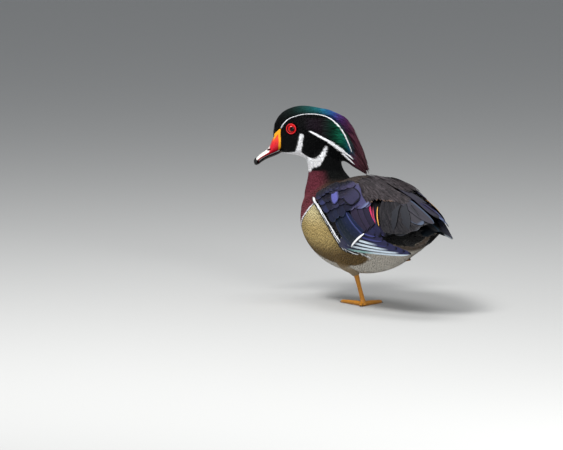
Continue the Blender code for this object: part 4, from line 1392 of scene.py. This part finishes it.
def make_mantle(coat, side):
    """Loose feathers of the shoulder, and on the near wing the streaked vanes under them."""
    if side > 0:
        lay_loose(coat, side, wing_at, TERTIAL_STARTS, TERTIAL_ENDS, 520, 1.3, (20, 32), (1.6, 3.0),
                  (-0.75, 0.6, 0.7), tertial_colours, loose=0.5, gloss=0.12)
    count, most = (360, 1.15) if side > 0 else (260, 0.6)
    lay_loose(coat, side, shoulder_at, MANTLE_STARTS, MANTLE_ENDS, count, most, (17, 27), (1.8, 3.6),
              (0.2, 1.1, 1.3), mantle_colours)


# Strands of the flank's band: colour, first and last distance behind its front edge, rows, the first
# and last angle, and how far they are raised
BAND_STRANDS = (
    (BLACK, -BAND_BLACK, -0.35, 3, 52, 122, 0),
    (WHITE, 0.35, BAND_WHITE - 0.35, 10, 52, 122, 0),
    (BLACK, 2.2, 2.7, 2, 70, 116, 0.25),
    (BLACK, BAND_WHITE + 0.3, BAND_WHITE + BAND_BLACK + 0.6, 4, 52, 122, 0),
)
# How far a plume of the band reaches and the step to the next, in degrees round the trunk
BAND_REACH = 8
BAND_STEP = 2.2


def band_place(angles, off):
    """Places (y, angle) at a distance behind the flank's upper edge."""
    return np.stack([FLANK_TOP(angles)[0] + off * band_share(angles), angles], 1)


def make_flank_plumes(paint):
    """Long plumes of the flank, white between black ones, that run along the wing's lower edge."""
    coat = []
    for colour, first, last, rows, start, stop, raised in BAND_STRANDS:
        for off, side in ((off, side) for off in np.linspace(first, last, rows) for side in (1, -1)):
            angles = np.arange(start, stop, BAND_STEP)
            angles = angles + RANDOM.uniform(-1, 1, len(angles))
            wobble = RANDOM.uniform(-0.2, 0.2, len(angles))
            roots = band_place(angles, off + wobble)
            tips = band_place(angles + BAND_REACH * RANDOM.uniform(0.9, 1.15, len(angles)), off + wobble)
            high = ease(-angles, -100, -80)
            heights = np.stack([0.5 + 0.6 * high, 1.2 + 1.3 * high, 1.2 + 1.5 * high], 1) + raised
            shade = (0.9 if colour is WHITE else 1.0) + 0.1 * RANDOM.uniform(0, 1, (len(angles), 1, 1))
            lay(coat, facing(trunk_at), roots * [1, side], tips * [1, side], 1.3, heights, STRAND,
                plain(colour * shade), side=side, radius=20, thick=0.3, jitter=0.12, gloss=0)
    build_coat("flank_plumes", coat, paint)


# Where the tail's fan ends and starts along y, and its heights at the start and the end
TAIL_TIP = 165
TAIL_CUT = 124
TAIL_HEIGHTS = (107, 95.5)


def tail_place(u, v):
    """Points over the fan of the tail: y and distance aside."""
    share = (u - TAIL_CUT) / (TAIL_TIP - TAIL_CUT)
    height = TAIL_HEIGHTS[0] + (TAIL_HEIGHTS[1] - TAIL_HEIGHTS[0]) * share
    points = np.stack([v, u, height - v**2 * 0.012], -1)
    up = unit(np.stack([v * 0.024, 0 * v + 0.28, 1 + 0 * v], -1))
    return points, up


def make_tail(paint):
    """The closed fan of tail feathers, with coverts over and under it."""
    coat = []
    # black tail feathers with a painted teal-blue sheen along their upper edges
    sheened_black = vane_paint([rgb(8, 9, 12), rgb(14, 22, 28)], high=(rgb(30, 56, 72), 0.25),
                      end=(rgb(34, 40, 44), 0.04))
    steps = np.arange(7)
    for side in (1, -1):
        roots = np.stack([132 + 0 * steps, side * (0.8 + 1.0 * steps)], 1)
        tips = np.stack([TAIL_TIP - 0.9 * steps, side * (2.2 + 1.6 * steps)], 1)
        low = -1.0 * steps - (0.4 if side < 0 else 0)
        lay(coat, tail_place, roots, tips, 9, np.stack([low, low + 0.2, low + 0.2], 1), FLIGHT, sheened_black,
            side=side, radius=40, thick=0.5, gloss=0.4)
    build_coat("tail_fan", coat, paint, ("tail",))
    coat = []
    roots, tips, widths = shingles(tail_at, 106, 146, lambda place: (17, 7), 0.24, 0.5)
    tips[:, 0] = np.minimum(tips[:, 0], 158)
    under = ease(np.abs(wrapped(roots[:, 1])), 152, 166)[:, None]

    def paint_covert(share, side, number, points):
        colour = blend(rgb(7, 7, 9), rgb(86, 74, 64), under) * varied(0.2, len(points), 1, 1)
        colour = blend(colour, BLACK, ease(share, 0.6, 0.75) * under * 0.8)
        return blend(colour, rgb(186, 174, 156), ease(share, 0.88, 0.94) * under)

    lay(coat, facing(tail_at), roots, tips, widths, (-1.0, 0.2, 0.0), PLUME, paint_covert,
        radius=26, thick=0.4, jitter=0.2, gloss=0.15)
    build_coat("tail_coverts", coat, paint)


def bill_tube(track, start, stop, count, around):
    """A tube along the bill, of ovals that are a little square."""
    forward, turn = np.meshgrid(np.linspace(start, stop, count), np.radians(turns(around)), indexing="ij")
    top, bottom, half = track(forward)
    height = (top + bottom) / 2 + (top - bottom) / 2 * signed_power(np.cos(turn), 0.85)
    return tube_mesh(head_point(forward, half * signed_power(np.sin(turn), 0.85), height))


def blob(centre, sizes, count=20, around=24):
    """A closed ellipsoid in the head's axes: sizes along forward, aside and up."""
    tilt = np.radians(np.linspace(4, 176, count))[:, None]
    turn = np.radians(turns(around))
    forward = centre[0] + sizes[0] * np.cos(tilt) + 0 * turn
    aside = centre[1] + sizes[1] * np.sin(tilt) * np.cos(turn)
    height = centre[2] + sizes[2] * np.sin(tilt) * np.sin(turn)
    return tube_mesh(head_point(forward, aside, height))


# The nostril in profile and the nail at the bill's tip, each with its place and size
NOSTRIL = (58.6, 165.4)
NOSTRIL_SIZE = (2.3, 1.0)
NOSTRIL_DEPTH = 1.3
NAIL = (72.6, 0, 151.6)
NAIL_SIZE = (2.9, 4.4, 4.2)
# Size of the grid on which the bill's parts are joined
BILL_VOXEL = 0.34
# Where the white of the bill's side begins, forward of the neck
BILL_WHITE_BACK = 58.4
BILL_RED = rgb(206, 18, 40)
BILL_ORANGE = rgb(226, 88, 40)
BILL_YELLOW = rgb(238, 164, 34)
BILL_WHITE = rgb(244, 242, 236)
BILL_BLACK = rgb(5, 5, 5)
# painted shade inside the nostril's hole, dark red
NOSTRIL_SHADE = rgb(60, 8, 10)


def nostril_field(s, h):
    """Below 1 inside the nostril's slanted oval."""
    along = s - NOSTRIL[0]
    rise = h - NOSTRIL[1] + 0.25 * along
    return (along / NOSTRIL_SIZE[0]) ** 2 + (rise / NOSTRIL_SIZE[1]) ** 2


def bill_colour(points):
    """Red base with a yellow edge, white sides, black ridge and nail."""
    s, low, aside = profile_of(points)
    h = points[..., 2]
    out = np.abs(aside)
    top, bottom, _ = BILL_TRACK(s)
    up = np.clip((h - bottom) / np.maximum(top - bottom, 1), 0, 1)
    on_top = ease(h - top, -3.6, -2.4) * ease(-s, -55, -52.5)
    edge = 1.3 + 1.1 * ease(low, 172, 182)
    white = over(s - BILL_WHITE_BACK + 1.2 * (up - 0.5), 0.7) * ease(up, 0.38, 0.46)
    return layered(
        BILL_RED,
        (BILL_ORANGE, ease(h, 168, 182) * 0.6),
        (BILL_YELLOW, np.maximum(on_top, over(edge - s + bill_rear(low), 0.4))),
        (BILL_WHITE, white * ease(out, 0.8, 1.8)),
        (BILL_BLACK, ease(-out, -1.7, -0.9) * ease(up, 0.8, 0.9) * ease(s, 57, 60)),
        (BILL_BLACK, np.maximum(ease(s, 69.8, 70.6) * over(154 - h, 0.5), ease(s, 72.2, 73))),
        # painted shade inside the nostril
        (NOSTRIL_SHADE, ease(-nostril_field(s, h), -1.5, -0.7) * ease(out, 2, 4)),
    )


def bill_lobe(side):
    """The side lobe of the bill's base, which lies on the head and ends in the rear edge."""
    swell = np.sqrt(np.sin(np.linspace(0.12, 0.5, 9) * math.pi))
    rings = []
    for height in np.linspace(166, 187.4, 26):
        rear = bill_rear(height)
        front = min(53, 45.5 + (188.8 - height) * 1.1)
        forward = np.linspace(rear, max(front, rear + 1.2), 9)
        turn = head_turn(forward, np.full(9, height)) * side
        inner = head_at(forward[::-1], turn[::-1], -2.5)
        rings.append(np.concatenate([head_at(forward, turn, swell), inner]))
    return tube_mesh(rings)


def make_upper_bill(paint):
    """The upper half of the bill with nail and nostrils."""
    pieces = [bill_tube(BILL_TRACK, 45.5, 74.6, 46, 48), blob(NAIL, NAIL_SIZE), bill_lobe(1), bill_lobe(-1)]
    made = fused("bill_upper_horn", pieces, BILL_VOXEL, 8)
    points, _ = read_mesh(made.data)
    s, _, aside = profile_of(points)
    depth = ease(-nostril_field(s, points[:, 2]), -1.6, -0.3) * ease(np.abs(aside), 2, 4) * NOSTRIL_DEPTH
    points = points - HEAD_SIDE * (np.sign(aside) * depth)[:, None]
    made.data.vertices.foreach_set("co", to_row(points).astype(np.float32).ravel())
    made.data.update()
    add_layers(made, bill_colour(points), 0.5)
    finish_piece(made, paint, ("bill_upper",))


# Depth of the bill's lower half, and the size of one of the small plates between both halves
LOWER_DEPTH = 2.8
PLATE_SIZE = (0.22, 0.7, 0.75)


def make_lower_bill(paint):
    """The lower half of the bill in black horn, and the comb of fine plates between the halves."""
    lower = Track([
        (s - 1.5, bottom - 0.3, bottom - 0.3 - LOWER_DEPTH, half - 1.3)
        for s, _, bottom, half in BILL_UPPER[:-1]
    ])
    made = fused("bill_lower_horn", [bill_tube(lower, 43.8, 70.6, 40, 40)], BILL_VOXEL, 6)
    add_layers(made, BILL_BLACK, 0.4)
    finish_piece(made, paint, ("bill_lower",))
    plates = []
    for forward in np.arange(50, 70, 0.75):
        _, bottom, half = BILL_TRACK(forward)
        plates += [blob((forward, side * (half - 1.5), bottom - 0.05), PLATE_SIZE, 6, 8) for side in (1, -1)]
    comb = make_object("bill_comb", *joined(plates))
    add_layers(comb, rgb(34, 18, 18), 0.2)
    finish_piece(comb, paint)


# The eyeball with the angles that its pupil and iris take up
EYEBALL_RADIUS = 6.1
EYE_SUNK = 0.5
PUPIL = math.radians(25.5)
IRIS = math.radians(58)
# The red ring round it: radius, half width and height, how far out it lies and its turn forward
LID_RING = 5.25
LID_SIZE = (0.62, 0.9)
LID_OUT = 3.0
LID_TURN = math.radians(20)


def square_to(axis):
    """Two directions square to an axis and to each other."""
    first = unit(np.cross(axis, [0, 0, 1.0]))
    return first, np.cross(axis, first)


def ball_mesh(centre, axis, radius, count=64, around=96):
    """A ball with its pole on an axis, and each point's angle from that pole and turn round it."""
    first, second = square_to(axis)
    tilt = np.radians(np.linspace(0.6, 179.4, count))[:, None, None]
    turn = np.radians(turns(around))[None, :, None]
    direction = axis * np.cos(tilt) + np.sin(tilt) * (first * np.cos(turn) + second * np.sin(turn))
    points, faces = tube_mesh(centre + direction * radius)
    away = unit(points - centre)
    return points, faces, np.arccos(np.clip(away @ axis, -1, 1)), np.arctan2(away @ second, away @ first)


def make_eye(end, side, eye_paint, ring_paint):
    """A wet eye with red iris and black pupil, and the red ring of bare skin round it."""
    forward, aside, height = EYE_PLACE
    axis = HEAD_SIDE * side
    centre = head_point(forward, side * (aside - EYE_SUNK), height)
    points, faces, tilt, turn = ball_mesh(centre, axis, EYEBALL_RADIUS)
    made = make_object(f"eye_{end}_ball", points, faces)
    fibres = 0.5 + 0.5 * np.sin(turn * 38 + 3 * np.sin(turn * 7)) * np.sin(turn * 17 + 1)
    iris = layered(
        rgb(168, 12, 14),
        (rgb(222, 30, 26), fibres * ease(tilt, PUPIL, IRIS * 0.8)),
        (rgb(60, 5, 6), ease(tilt, IRIS * 0.74, IRIS * 0.86)),
    )
    pupil_share, rim_share = over(tilt - PUPIL, 0.03), ease(tilt, IRIS, IRIS + 0.06)
    add_layers(made, layered(rgb(3, 3, 4), (iris, pupil_share), (rgb(20, 6, 6), rim_share)), 0)
    finish_piece(made, eye_paint, (f"eye_{end}",))
    out = axis * math.cos(LID_TURN) + HEAD_AXIS * math.sin(LID_TURN)
    middle = head_point(forward, side * aside, height) + out * LID_OUT
    first, second = square_to(out)
    turn = np.radians(turns(120))[:, None, None]
    across = np.radians(turns(14))[None, :, None]
    away = first * np.cos(turn) + second * np.sin(turn)
    wrinkle = 0.06 * np.sin(turn * 34) + 0.05 * np.sin(turn * 21 + 1)
    wide, tall = (size + wrinkle for size in LID_SIZE)
    rings = middle + away * LID_RING + away * wide * np.cos(across) + out * tall * np.sin(across)
    points = rings.reshape(-1, 3)
    made = make_object(f"eye_{end}_ring", points, outward(points, ring_faces(120, 14, True)))
    inner = ease(-np.linalg.norm(points - middle - out * 0.3, axis=1), -4.95, -4.7)
    add_layers(made, blend(rgb(214, 26, 34), rgb(50, 6, 6), inner), 0.2)
    finish_piece(made, ring_paint)


# The middle toe's turn from the body's heading, and each toe's turn from it with its length
TOE_HEADING = -28
TOES = [(34, 44), (0, 49), (-34, 40)]
HIND_TURN = 165
# Share of a toe's length that its web reaches, and that share halfway between two toes
WEB_REACH = 0.86
WEB_NOTCH = 0.84
TOE_RADII = [2.6, 2.5, 2.1, 1.7, 1.1]
LEG = rgb(212, 140, 34)
# painted shade on the legs' skin, on their backs and under each plate
LEG_SHADE = rgb(120, 78, 26)
WEB = rgb(112, 78, 40)
CLAW = rgb(30, 24, 20)


def scaled_limb(path, radii, side_up, count=90, around=28, scute=2.1, raised=0.22):
    """A limb with a row of overlapping plates along one side and small scales behind, painted darker at its
    back and under each plate as shade.
    """
    track, length = path_track(path, radii)
    at = np.linspace(0, length, count)
    here = track(at)
    centres = np.moveaxis(here[:3], 0, -1)
    along = unit(np.gradient(centres, axis=0))
    side_up = np.array(side_up, float)
    up = unit(side_up - along * (along @ side_up)[:, None])
    aside = np.cross(along, up)
    turn = np.radians(turns(around))
    front = ease(np.cos(turn), -0.1, 0.5)[None]
    plates = (1 - np.mod(at / scute, 1)[:, None]) ** 1.5
    knobs = 0.5 + 0.5 * np.sin(at[:, None] * 5.2) * np.sin(turn[None] * 9)
    radius = here[3][:, None] + raised * (front * plates + (1 - front) * knobs * 0.6)
    turn = turn[None, :, None]
    ring = up[:, None] * np.cos(turn) + aside[:, None] * np.sin(turn)
    points, faces = tube_mesh(centres[:, None] + ring * radius[..., None])
    # painted light and shade: the plated front lit, the back and the gaps under plates and between scales
    # shaded
    painted_light = front * (0.55 + 0.45 * plates) + (1 - front) * (0.25 + 0.35 * knobs)
    return points, faces, blend(LEG, LEG_SHADE, (1 - np.append(painted_light, [0.5, 0.5])) * 0.75)


def claw(root, along, length, radius):
    """A curved claw of dark horn."""
    t = np.linspace(0, 1, 14)
    path = root + along * (t * length)[:, None] - [0, 0, 0.25] * (t**2 * length)[:, None]
    path[:, 2] = np.maximum(path[:, 2], 0.35)
    ahead = unit(np.gradient(path, axis=0))[:, None]
    radii = radius * (1 - 0.85 * t**1.3)[:, None]
    points, faces = tube_mesh(round_ring(path[:, None], ahead, turns(14), radii))
    return points, faces, CLAW + 0 * points


def make_scaly(name, parts, paint, replaced=(), floor=True):
    """A piece of legs, webs or claws, with nothing under the floor."""
    points, faces, tint = joined(parts)
    if floor:
        points[:, 2] = np.maximum(points[:, 2], 0.02)
    made = make_object(name, points, faces)
    add_layers(made, tint, 0.3)
    finish_piece(made, paint, replaced)


def web_sheet(root, first, second, notch):
    """A thin wrinkled skin between two toes."""
    u, v = np.meshgrid(np.linspace(0.06, 1, 30), np.linspace(0, 1, 26), indexing="ij")
    middle = np.sin(math.pi * v)
    reach = 1 - (1 - notch) * middle ** 0.8
    ends = blend(first, second, v)
    upper = root + (ends - root) * (u * reach)[..., None]
    upper[..., 2] = 1.9 - 0.9 * middle * u + 0.1 * np.sin(v * 60 + 3 * u) * u + 0.08 * np.sin(u * 46) * middle
    lower = upper[:, ::-1] - [0, 0, 0.7]
    points, faces = tube_mesh(np.concatenate([upper, lower], axis=1))
    shade = 0.35 + 0.5 * np.concatenate([middle, middle[:, ::-1]], 1) ** 0.5
    return points, faces, blend(LEG, WEB, np.append(shade, [0.5, 0.5]))


def heading(degrees):
    """The level direction at an angle from the body's heading."""
    turn = math.radians(TOE_HEADING + degrees)
    return np.array([math.sin(turn), -math.cos(turn), 0])


def make_left_leg(paint, claw_paint):
    """The leg that the bird stands on, with its webbed foot flat on the floor."""
    shank = scaled_limb([ANKLE + [0.3, -1, 3], ANKLE, (ANKLE + FOOT) / 2, FOOT, FOOT - [0, 0, 2.5]],
                        [2.9, 3.0, 2.25, 2.5, 2.6], (-0.5, -1, 0.2), 110, 32)
    make_scaly("shank_left_skin", [shank], paint, ("shank_left",))
    root = np.array([FOOT[0], FOOT[1], 0])
    up = np.array([0, 0, 1.0])
    parts, claws, webs = [], [], []
    for turn, length in TOES:
        along = heading(turn)
        tip = root + along * length
        webs.append(root + (tip - root) * WEB_REACH)
        marks = [root - along * 2, root + along * 14, *(tip - along * back for back in (14, 5, 3))]
        path = [mark + up * radius * 0.95 for mark, radius in zip(marks, TOE_RADII)]
        parts.append(scaled_limb(path, TOE_RADII, up, int(length * 2.4), 22, 1.7, 0.2))
        claws.append(claw(tip - along * 4.4 + up * 1.3, along, 5.2, 1.15))
    parts += [web_sheet(root, first, second, WEB_NOTCH) for first, second in zip(webs, webs[1:])]
    heel = [root + up * 1.5, root + up * 4, FOOT + up * 1]
    parts.append(scaled_limb(heel, [4.2, 3.4, 2.7], (-0.5, -1, 0), 24, 24, 1.6, 0.2))
    behind = heading(HIND_TURN)
    hind = [root + up * 3.5, root + behind * 6 + up * 2.8, root + behind * 10.5 + up * 1.7]
    parts.append(scaled_limb(hind, [2.0, 1.6, 1.2], up, 24, 18, 1.4, 0.15))
    claws.append(claw(hind[-1] - behind * 0.8, behind, 3.4, 0.85))
    make_scaly("foot_left_skin", parts, paint, ("foot_left",))
    make_scaly("claws_left", claws, claw_paint)


def make_right_leg(paint, claw_paint):
    """The other leg, folded up against the belly with its toes together."""
    path = [(-42.8, 10.5, 58.3), (-43.4, 4, 56.5), (-44.3, -4, 54.5), (-43.3, -17, 53)]
    shank = scaled_limb(path, [3, 2.5, 2.4, 2.6], (-1, 0, -0.4), 70, 26)
    make_scaly("shank_right_skin", [shank], paint, ("shank_right",), False)
    parts, claws = [], []
    for spread in (-2.4, 0, 2.4):
        path = np.array([(-43.3, -18, 52.5), (-44.5, -7, 49.9), (-45, 8, 50.1), (-45.2, 17, 51.5)])
        path += np.array([(0, 0, 0), (-0.1, 0, 0.5), (0, 0, 1), (0, 0, 1.2)]) * spread
        parts.append(scaled_limb(path, [2.6, 2.2, 1.9, 1.3], (-1, 0, 0), 70, 20, 1.7, 0.18))
        claws.append(claw(path[-1] - [0, 1, 0], np.array([0, 1, 0.15]), 4.4, 1.0))
    make_scaly("foot_right_skin", parts, paint, ("foot_right",), False)
    make_scaly("claws_right", claws, claw_paint)


class Painter:
    """Builds a material's nodes by short calls."""

    def __init__(self, name):
        self.material = bpy.data.materials.new(name)
        self.material.use_nodes = True
        self.tree = self.material.node_tree
        self.shader = self.tree.nodes["Principled BSDF"]

    def put(self, socket, value):
        if isinstance(value, bpy.types.NodeSocket):
            self.tree.links.new(value, socket)
        else:
            socket.default_value = value

    def node(self, kind, inputs, **settings):
        """The outputs of a new node, with values or links for its inputs."""
        made = self.tree.nodes.new(kind)
        for key, value in settings.items():
            setattr(made, key, value)
        for key, value in inputs.items():
            self.put(made.inputs[key], value)
        return made.outputs

    def math(self, operation, *values):
        return self.node("ShaderNodeMath", dict(enumerate(values)), operation=operation)[0]

    def add(self, first, *others):
        for other in others:
            first = self.math("ADD", first, other)
        return first

    def times(self, first, *others):
        for other in others:
            first = self.math("MULTIPLY", first, other)
        return first

    def attribute(self, name, output):
        return self.node("ShaderNodeAttribute", {}, attribute_name=name)[output]

    def place(self):
        return self.node("ShaderNodeTexCoord", {})["Object"]

    def noise(self, scale, detail=3.0):
        inputs = {"Scale": scale, "Detail": detail, "Vector": self.place()}
        return self.node("ShaderNodeTexNoise", inputs)["Fac"]

    def tinted(self, *parts):
        """The points' own colour times the sum of the parts."""
        inputs = {0: self.attribute("tint", "Color"), "Scale": self.add(*parts)}
        return self.node("ShaderNodeVectorMath", inputs, operation="SCALE")["Vector"]

    def bump(self, strength, distance, *parts):
        inputs = {"Strength": strength, "Distance": distance * MM, "Height": self.add(*parts)}
        self.put(self.shader.inputs["Normal"], self.node("ShaderNodeBump", inputs)["Normal"])

    def set(self, **values):
        for key, value in values.items():
            self.put(self.shader.inputs[key.replace("_", " ")], value)


def feather_material(name, rough, specular):
    """Feather vanes: the tint's colour with barbs, a shaft, fine mottling and, where asked, waved bars."""
    paint = Painter(name)
    across, along, bars = paint.node("ShaderNodeSeparateXYZ", {0: paint.attribute("vane", "Vector")})
    away = paint.math("ABSOLUTE", across)
    gloss = paint.attribute("gloss", "Fac")
    barbs = paint.math("SINE", paint.times(paint.math("SUBTRACT", along, paint.times(away, 1.2)), 9.0))
    mottle = paint.noise(520)
    wave = paint.math("SINE", paint.add(paint.times(along, 6.5), paint.times(paint.noise(60, 2.0), 12.0)))
    shaft = paint.times(paint.math("LESS_THAN", away, 0.16), paint.math("GREATER_THAN", gloss, 0.2), -0.16)
    paint.set(
        Base_Color=paint.tinted(
            paint.times(barbs, 0.05), paint.times(mottle, 0.4), 0.8, paint.times(wave, 0.08, bars), shaft
        ),
        Metallic=paint.times(gloss, 0.5),
        Roughness=paint.math("SUBTRACT", rough, paint.times(gloss, 0.22)),
        Specular_IOR_Level=specular,
    )
    paint.bump(0.15, 0.12, barbs, mottle)
    return paint.material


def horn_material(name):
    """Smooth horn of the bill, with faint pores and growth lines."""
    paint = Painter(name)
    pores, broad = paint.noise(900, 4.0), paint.noise(140, 2.0)
    paint.set(
        Base_Color=paint.tinted(paint.times(pores, 0.14), paint.times(broad, 0.24), 0.8),
        Roughness=paint.add(paint.times(broad, 0.16), 0.3),
        Specular_IOR_Level=0.28,
        Coat_Weight=0.1,
        Coat_Roughness=0.2,
    )
    paint.bump(0.22, 0.12, pores, broad)
    return paint.material


def eye_material(name):
    """The wet ball of the eye."""
    paint = Painter(name)
    paint.set(
        Base_Color=paint.tinted(paint.times(paint.noise(1600), 0.5), 0.75),
        Roughness=0.25,
        Specular_IOR_Level=0.06,
        Coat_Weight=0.3,
        Coat_Roughness=0.03,
    )
    return paint.material


def leg_material(name):
    """Scaly skin of legs and webs, with small grain."""
    paint = Painter(name)
    inputs = {"Scale": 1100.0, "Vector": paint.place()}
    cells = paint.node("ShaderNodeTexVoronoi", inputs, feature="DISTANCE_TO_EDGE")
    edge = paint.math("MINIMUM", paint.times(cells["Distance"], 6.0), 1.0)
    grain = paint.noise(300)
    paint.set(
        Base_Color=paint.tinted(paint.times(edge, 0.2), paint.times(grain, 0.5), 0.58),
        Roughness=paint.math("SUBTRACT", 0.62, paint.times(grain, 0.2)),
        Specular_IOR_Level=0.4,
    )
    paint.bump(0.35, 0.15, edge, grain)
    return paint.material


def claw_material(name):
    """Dark horn of the claws, with fine lines."""
    paint = Painter(name)
    grain = paint.noise(1400)
    paint.set(Base_Color=paint.tinted(paint.times(grain, 0.8), 0.6), Roughness=0.34, Specular_IOR_Level=0.5)
    paint.bump(0.15, 0.08, grain)
    return paint.material


def place_looking(name, data, place, direction):
    """Puts a camera or light at a place, looking along a direction."""
    made = bpy.data.objects.new(name, data)
    bpy.context.scene.collection.objects.link(made)
    made.location = place
    made.rotation_mode = "QUATERNION"
    made.rotation_quaternion = Vector(direction).to_track_quat("-Z", "Y")
    return made


def make_camera():
    """A long lens at the photo's angle, with the photo's framing."""
    out = np.array([
        math.sin(VIEW_AZIMUTH) * math.cos(VIEW_HEIGHT),
        -math.cos(VIEW_AZIMUTH) * math.cos(VIEW_HEIGHT),
        math.sin(VIEW_HEIGHT),
    ])
    right = np.array([math.cos(VIEW_AZIMUTH), math.sin(VIEW_AZIMUTH), 0])
    up = np.cross(right, -out)
    across = (PHOTO_SIZE[0] / 2 - GROUND_PIXEL[0]) * MM_PER_PIXEL
    above = (GROUND_PIXEL[1] - PHOTO_SIZE[1] / 2) * MM_PER_PIXEL
    target = to_row(right * across + up * above)
    data = bpy.data.cameras.new("camera")
    data.sensor_width = SENSOR_WIDTH
    data.lens = SENSOR_WIDTH * VIEW_DISTANCE / (PHOTO_SIZE[0] * MM_PER_PIXEL * MM)
    data.clip_end = 100
    bpy.context.scene.camera = place_looking("camera", data, target + out * VIEW_DISTANCE, -out)
    return out, right


# Each light's name, how far it stands out of the picture, to the right and up, its size and power
LIGHTS = (
    ("key", (1.0, -0.6, 1.4), 0.6, 34),
    ("top", (-0.2, 0, 1.8), 1.0, 14),
    ("fill", (1.5, 0.5, 0.4), 0.4, 9),
)
# What the lights look at, in metres
LIGHT_TARGET = np.array([0, 0, 0.11])


def make_studio(out, right):
    """Pale floor, even surroundings and soft lights."""
    for name, steps, size, power in LIGHTS:
        data = bpy.data.lights.new(name, "AREA")
        data.size = size
        data.energy = power
        offset = steps @ np.array([out, right, (0, 0, 1)])
        place_looking(name, data, LIGHT_TARGET + offset, -offset)
    world = bpy.data.worlds.new("studio")
    world.use_nodes = True
    background = world.node_tree.nodes["Background"].inputs
    background["Color"].default_value = (0.86, 0.9, 0.95, 1)
    background["Strength"].default_value = 0.34
    bpy.context.scene.world = world
    bpy.context.scene.view_settings.view_transform = "Standard"
    bpy.ops.mesh.primitive_plane_add(size=12, location=(0, 0, 0))
    floor = bpy.context.object
    floor.name = "floor"
    paint = Painter("floor")
    paint.set(Base_Color=(0.5, 0.5, 0.49, 1), Roughness=0.85)
    floor.data.materials.append(paint.material)


def main():
    make_studio(*make_camera())
    body_paint = feather_material("body_feathers", 0.66, 0.12)
    head_paint = feather_material("head_feathers", 0.55, 0.1)
    wing_paint = feather_material("wing_feathers", 0.5, 0.16)
    horn = horn_material("horn")
    eye_paint = eye_material("wet_eye")
    leg_paint = leg_material("scaly_skin")
    claw_paint = claw_material("claw_horn")
    skin = Skin()
    skin.dress(feather_material("down", 0.75, 0.15))
    make_head_coats(skin, head_paint)
    make_stripes(head_paint)
    make_crest(head_paint)
    make_neck_coat(skin, body_paint)
    make_trunk_coat(skin, body_paint)
    make_thigh_coat(skin, body_paint)
    make_wing("wing_left_feathers", 1, wing_paint)
    make_wing("wing_right_feathers", -1, wing_paint)
    make_flank_plumes(body_paint)
    make_tail(wing_paint)
    make_upper_bill(horn)
    make_lower_bill(horn)
    make_eye("left", 1, eye_paint, horn)
    make_eye("right", -1, eye_paint, horn)
    make_left_leg(leg_paint, claw_paint)
    make_right_leg(leg_paint, claw_paint)


main()
